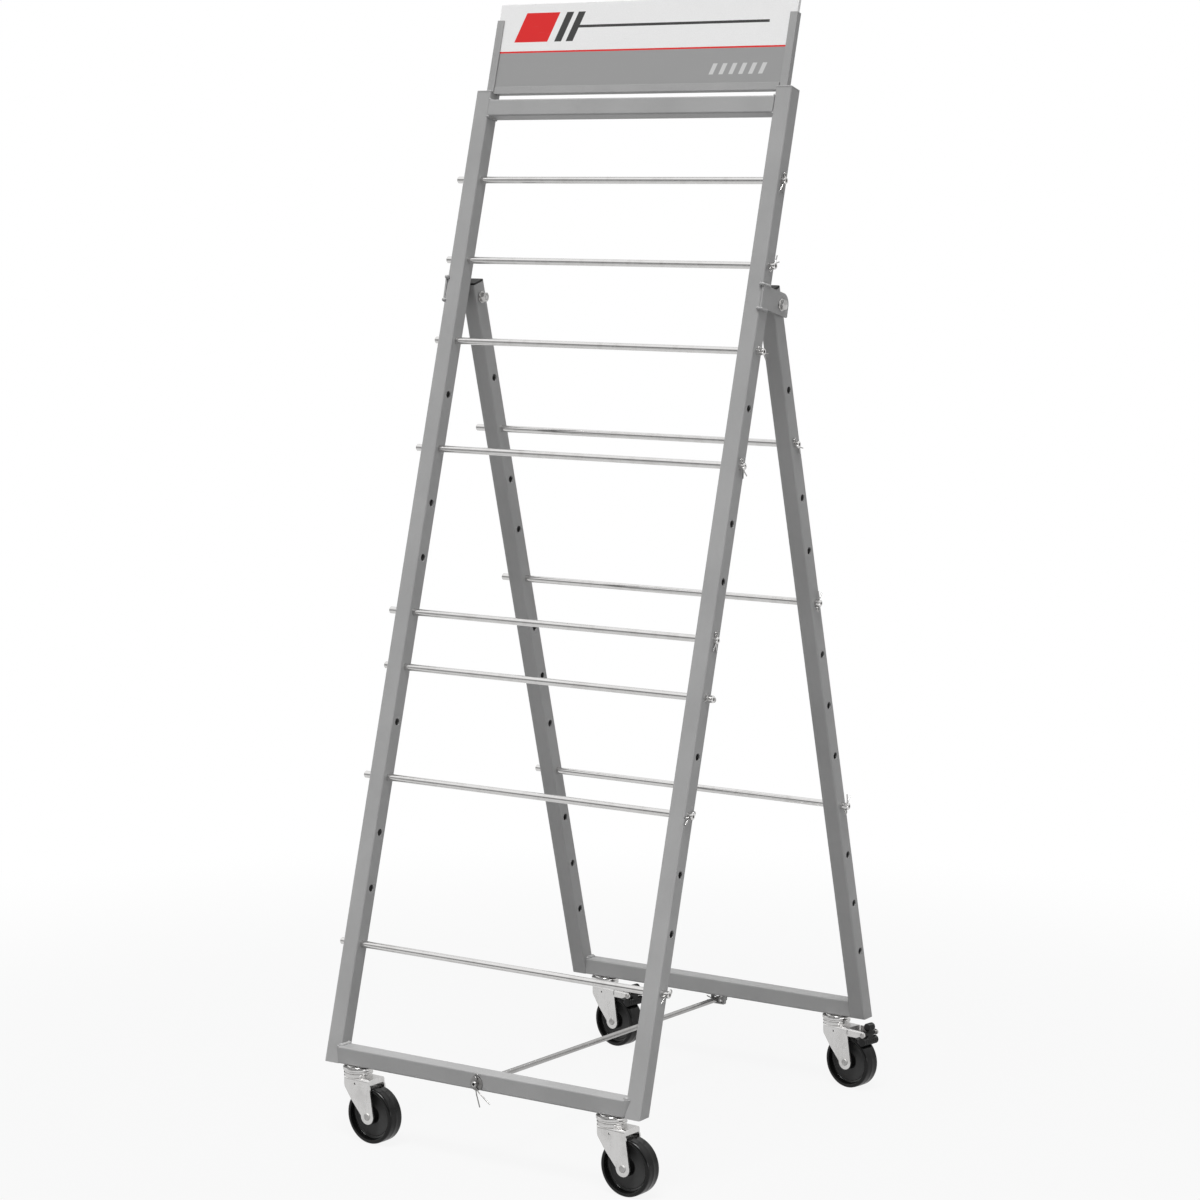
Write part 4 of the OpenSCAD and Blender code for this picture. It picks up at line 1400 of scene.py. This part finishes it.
@dataclass
class Castors:
    """Heads, races, wheels, rivets and pedals of the four castors.

    A rivet has the radii of its pin and head and a head's thickness. A lobe of the pedal has
    its place, radius, width and number of grooves in mm, and a neck its ends, width and depth.
    """

    head: float = 22 * MM
    wheel: float = 40 * MM
    tread: float = 26 * MM
    matt: Point2 = (12 * MM, 32 * MM)
    axle: Rivet = (4 * MM, 5.44 * MM, 1.6 * MM)
    pedal_pin: Rivet = (2 * MM, 3.6 * MM, 1.3 * MM)
    lobes: tuple[tuple[float, float, float, float, int], ...] = (
        (0.0, 0.0, 3.6, 24.0, 0), (0.5, 10.0, 6.0, 14.0, 3), (-1.0, -11.5, 6.5, 34.0, 7))
    necks: tuple[tuple[float, float, float, float], ...] = (
        (0.0, 10.0, 8.0, 5.0), (-11.5, 0.0, 12.0, 5.0))
    melt_cell: float = 0.5 * MM
    melt_passes: int = 4
    head_turns: int = 72
    wheel_turns: int = 112
    axle_turns: int = 48
    pin_turns: int = 32
    lobe_turns: int = 40
    sharp: float = 32.0

    def build(self) -> None:
        """Makes every piece of the castors that is turned or moulded."""
        for end in End:
            for side in Side:
                self._castor(end, side)

    def _castor(self, end: End, side: Side) -> None:
        """Makes one castor.

        Args:
            end: The frame that it stands under.
            side: Its side of the carrier.
        """
        name = f"{end.value}_{side.word}"
        place = LAYOUT.castor(end, side)
        across = Matrix.Rotation(math.pi / 2, 4, "X")
        hub = place @ Matrix.Translation((LAYOUT.trail, 0.0, LAYOUT.axle_z)) @ across
        self._turned(name + "_castor_head", self._head(), self.head_turns, place, HEAD_ZINC,
                     Slot.ZINC)
        self._turned(name + "_wheel", self._wheel(), self.wheel_turns, hub, WHEEL_BLACK,
                     Slot.WHEEL)
        self._turned(name + "_axle", self._rivet(*self.axle), self.axle_turns, hub, RIVET_ZINC,
                     Slot.ZINC)
        form = Form()
        form.lathe(self._race(), self.head_turns, place)
        show(name + "_race_rim", form.mesh(name + "_race_rim", HEAD_ZINC), name + "_castor")
        if end is End.REAR:
            pin = place @ Matrix.Translation((LAYOUT.pedal_x, 0.0, LAYOUT.pedal_z)) @ across
            self._turned(name + "_pedal_pin", self._rivet(*self.pedal_pin), self.pin_turns, pin,
                         RIVET_ZINC, Slot.ZINC)
            show(name + "_pedal_moulded", self._pedal(name, pin), name + "_pedal",
                 [name + "_pedal"])

    def _turned(self, node: str, profile: Sequence[Point2], turns: int, place: Matrix,
                finish: Finish, slot: Slot) -> None:
        """Stands a turned piece in for a node.

        Args:
            node: The node's name.
            profile: Radius and height of each point.
            turns: Steps round.
            place: Where it goes.
            finish: Its finish.
            slot: Its slot; only read to mark the web of a wheel.
        """
        form = Form()
        form.lathe(profile, turns, place)
        mesh = form.mesh(node + "_turned", finish, self.sharp)
        if slot is Slot.WHEEL:
            self._mark_web(mesh, place)
        show(node + "_turned", mesh, body_of(node), [node])

    def _mark_web(self, mesh: bpy.types.Mesh, place: Matrix) -> None:
        """Marks the matt web of a wheel on its points.

        Args:
            mesh: The wheel.
            place: Its axes, with z along the axle.
        """
        back = place.inverted()
        inner, outer = self.matt
        matt = mesh.attributes.new("matt", "FLOAT", "POINT")
        for point, mark in zip(mesh.vertices, matt.data):
            at = back @ point.co
            mark.value = 1.0 if inner < math.hypot(at.x, at.y) < outer else 0.0

    def _head(self) -> list[Point2]:
        """Profile of a swivel head: stem, pressed cup with a rolled rim, king pin and its rivet.

        Returns:
            The profile, from pole to pole.
        """
        r = self.head / MM
        points = [(0, 14), (4.3, 14), (5, 13.3), (5, 0), (r - 6, 0), (r - 5.6, -1.3),
                  (r - 1.4, -1.5), (r - 0.4, -2.0), (r, -2.9), (r - 0.1, -5.2), (r - 0.5, -6.2),
                  (r - 1.3, -6.7), (r - 4.6, -7), (5, -7), (5, -17.3), (8, -17.3), (8, -18.6),
                  (7.4, -19.7), (6.0, -20.3), (0, -20.3)]
        return [(x * MM, z * MM) for x, z in points]

    def _race(self) -> list[Point2]:
        """Profile of the rolled rim round the lower race.

        Returns:
            The profile, a closed line.
        """
        line = [(19.0, -9.0), (20.0, -9.1), (20.7, -9.6), (20.9, -10.4), (20.6, -11.3),
                (19.9, -11.9), (19.0, -12.1), (19.0, -9.0)]
        return [(x * MM, z * MM) for x, z in line]

    def _wheel(self) -> list[Point2]:
        """Profile of a wheel: hub, dished web with a groove, rim and tread.

        Returns:
            The profile, a closed line.
        """
        big, half = self.wheel / MM, self.tread / 2 / MM
        web = [(4.05, 14), (9.6, 14), (10.6, 13.6), (11, 12.8), (11.3, 6.4), (11.8, 5.2),
               (13.0, 4.5), (29.6, 4.5), (30.0, 4.2), (30.6, 4.0), (31.2, 4.2), (31.6, 4.5),
               (32.4, 4.6), (33.2, 5.2), (33.6, 6.2), (34.3, 11.8), (34.6, 12.6), (35.2, half)]
        rim = [(big - 3.0, half), (big - 1.7, half - 0.3), (big - 0.7, half - 1.0),
               (big - 0.2, half - 2.1), (big - 0.06, half - 3.6), (big, half - 7),
               (big, 0.7), (big + 0.1, 0.35)]
        side = web + rim
        line = side + [(r, -h) for r, h in reversed(side)] + [side[0]]
        return [(r * MM, h * MM) for r, h in line]

    def _rivet(self, pin: float, head: float, thick: float) -> list[Point2]:
        """Profile of a riveted pin with a flat dished head outside each leg.

        Args:
            pin: Radius of the pin.
            head: Radius of a head.
            thick: Thickness of a head.

        Returns:
            The profile, from pole to pole.
        """
        face = LAYOUT.fork_half
        side = [(0.0, face + thick * 0.8), (head * 0.4, face + thick * 0.82),
                (head * 0.5, face + thick * 0.95), (head * 0.8, face + thick * 0.95),
                (head * 0.94, face + thick * 0.65), (head, face + thick * 0.25), (head, face),
                (pin, face)]
        return side + [(r, -h) for r, h in reversed(side)]

    def _pedal(self, name: str, pin: Matrix) -> bpy.types.Mesh:
        """A rocker pedal: hub, neck and two ribbed lobes, melted into one moulding.

        Args:
            name: Name of its castor.
            pin: Axes of its pin, with z along the pin.

        Returns:
            The moulding's mesh.
        """
        form = Form()
        for x, up, r, wide, ribs in self.lobes:
            at = pin @ Matrix.Translation((x * MM, up * MM, 0.0))
            form.lathe(self._lobe(r, wide, ribs), self.lobe_turns, at)
        for low, high, wide, deep in self.necks:
            form.block((deep * MM, (high - low) * MM, wide * MM),
                       pin @ Matrix.Translation((0.0, (high + low) / 2 * MM, 0.0)))
        source = form.mesh(name + "_pedal_parts", None)
        return melted(name + "_pedal_moulded", source, self.melt_cell, self.melt_passes,
                      PEDAL_BLACK)

    @staticmethod
    def _lobe(radius: float, wide: float, ribs: int) -> list[Point2]:
        """Profile of a lobe across the pedal, with grooves between its ribs.

        Args:
            radius: Radius in millimetres.
            wide: Width in millimetres.
            ribs: Number of grooves.

        Returns:
            The profile, from pole to pole.
        """
        half = wide / 2
        line = [(0.0, -half), (radius - 1.2, -half), (radius - 0.3, -half + 0.5),
                (radius, -half + 1.4)]
        for k in range(ribs):
            z = -half + wide * (k + 1) / (ribs + 1)
            line += [(radius, z - 0.9), (radius - 1.0, z - 0.45), (radius - 1.0, z + 0.45),
                     (radius, z + 0.9)]
        line += [(radius, half - 1.4), (radius - 0.3, half - 0.5), (radius - 1.2, half),
                 (0.0, half)]
        return [(r * MM, z * MM) for r, z in line]


@dataclass
class Studio:
    """Floor, soft light, pale room and the camera of the photograph's view."""

    eye: tuple[float, float, float] = (2.39848, LAYOUT.front_y - 3.416047, 1.30635)
    yaw: float = 32.8235
    pitch: float = -7.0947
    roll: float = 0.4725
    lens: float = 93.58
    sensor: float = 36.0
    reach: float = 40.0
    clip: float = 200.0
    key: float = 3.18
    key_from: tuple[float, float, float] = (0.08, -0.29, 0.88)
    key_angle: float = math.radians(26)
    side: float = 3.0
    side_from: tuple[float, float, float] = (1.8, -0.35, 0.3)
    side_size: Point2 = (1.2, 0.4)
    fill: float = 0.44
    back: float = 1.4
    dark: float = 0.85

    def build(self) -> None:
        """Makes all of it."""
        self._floor()
        self._lights()
        self._world()
        self._camera()

    def _floor(self) -> None:
        """A wide plain floor."""
        form = Form()
        r = self.reach
        form.grid([[Vector((x, y, 0.0)) for x in (-r, r)] for y in (-r, r)])
        mesh = form.mesh("floor", None)
        mesh.materials.append(Backdrop("white_floor").material())
        floor = bpy.data.objects.new("floor", mesh)
        bpy.context.scene.collection.objects.link(floor)

    def _lights(self) -> None:
        """One wide soft light from above and in front, and a weak one low on the right."""
        sun = bpy.data.lights.new("soft_light", "SUN")
        sun.angle, sun.energy = self.key_angle, self.key
        panel = bpy.data.lights.new("low_panel", "AREA")
        panel.shape, panel.energy = "RECTANGLE", self.side
        panel.size, panel.size_y = self.side_size
        for lamp, at in ((sun, Vector(self.key_from)), (panel, Vector(self.side_from))):
            holder = bpy.data.objects.new(lamp.name, lamp)
            holder.location = at
            holder.rotation_mode = "QUATERNION"
            holder.rotation_quaternion = (-at).to_track_quat("-Z", "Y")
            bpy.context.scene.collection.objects.link(holder)

    def _world(self) -> None:
        """A pale room: white to the camera, dimmer overhead and to the right, and lit behind.

        Gloss sees it white too, but darker low down in front and behind.
        """
        world = bpy.data.worlds.new("pale_room")
        bpy.context.scene.world = world
        world.use_nodes = True
        world.node_tree.nodes.clear()
        board = Board(world.node_tree)
        at = board.node("ShaderNodeTexCoord", out="Generated")
        x, y, up = board.parts(at)
        seen, gloss = board.rays()
        front = (x * 0.3 - y * 0.9).ramp(0.1, 0.7)
        low = 1.0 - up.ramp(0.25, 0.7)
        dark = (front + y.ramp(0.2, 0.7) * 0.5).below(1.0) * low * self.dark
        room = self.fill * (1.0 - up.ramp(0.2, 0.9) * 0.2) * (1.0 - x.ramp(-0.1, 0.8) * 0.5)
        room = room * (1.0 + y.ramp(0.3, 0.9) * self.back)
        white = (seen + gloss * (1.0 - dark)).below(1.0)
        light = board.node("ShaderNodeBackground", {}, {
            0: (1, 1, 1, 1), 1: white + (1.0 - seen.above(gloss)) * room})
        board.node("ShaderNodeOutputWorld", {}, {0: light})

    def _camera(self) -> None:
        """The photograph's camera."""
        yaw, pitch, roll = (math.radians(a) for a in (self.yaw, self.pitch, self.roll))
        look = Vector((-math.sin(yaw) * math.cos(pitch), math.cos(yaw) * math.cos(pitch),
                       math.sin(pitch)))
        right = Vector((math.cos(yaw), math.sin(yaw), 0.0))
        up = right.cross(look)
        x = right * math.cos(roll) + up * math.sin(roll)
        y = up * math.cos(roll) - right * math.sin(roll)
        data = bpy.data.cameras.new("photo_camera")
        data.sensor_width, data.lens = self.sensor, self.lens
        data.clip_end = self.clip
        made = bpy.data.objects.new("photo_camera", data)
        turn = Matrix((x, y, -look)).transposed()
        made.matrix_world = Matrix.Translation(self.eye) @ turn.to_4x4()
        bpy.context.scene.collection.objects.link(made)
        bpy.context.scene.camera = made


def main() -> None:
    """Builds and dresses the carrier."""
    logging.basicConfig(level=logging.INFO, format="%(name)s: %(message)s")
    bpy.context.scene.view_settings.view_transform = "Standard"
    Studio().build()
    Dressing().dress()
    SoftEdges().build()
    Welds().build()
    SplitPins().build()
    HingeFixings().build()
    Castors().build()


if __name__ == "__main__":
    main()
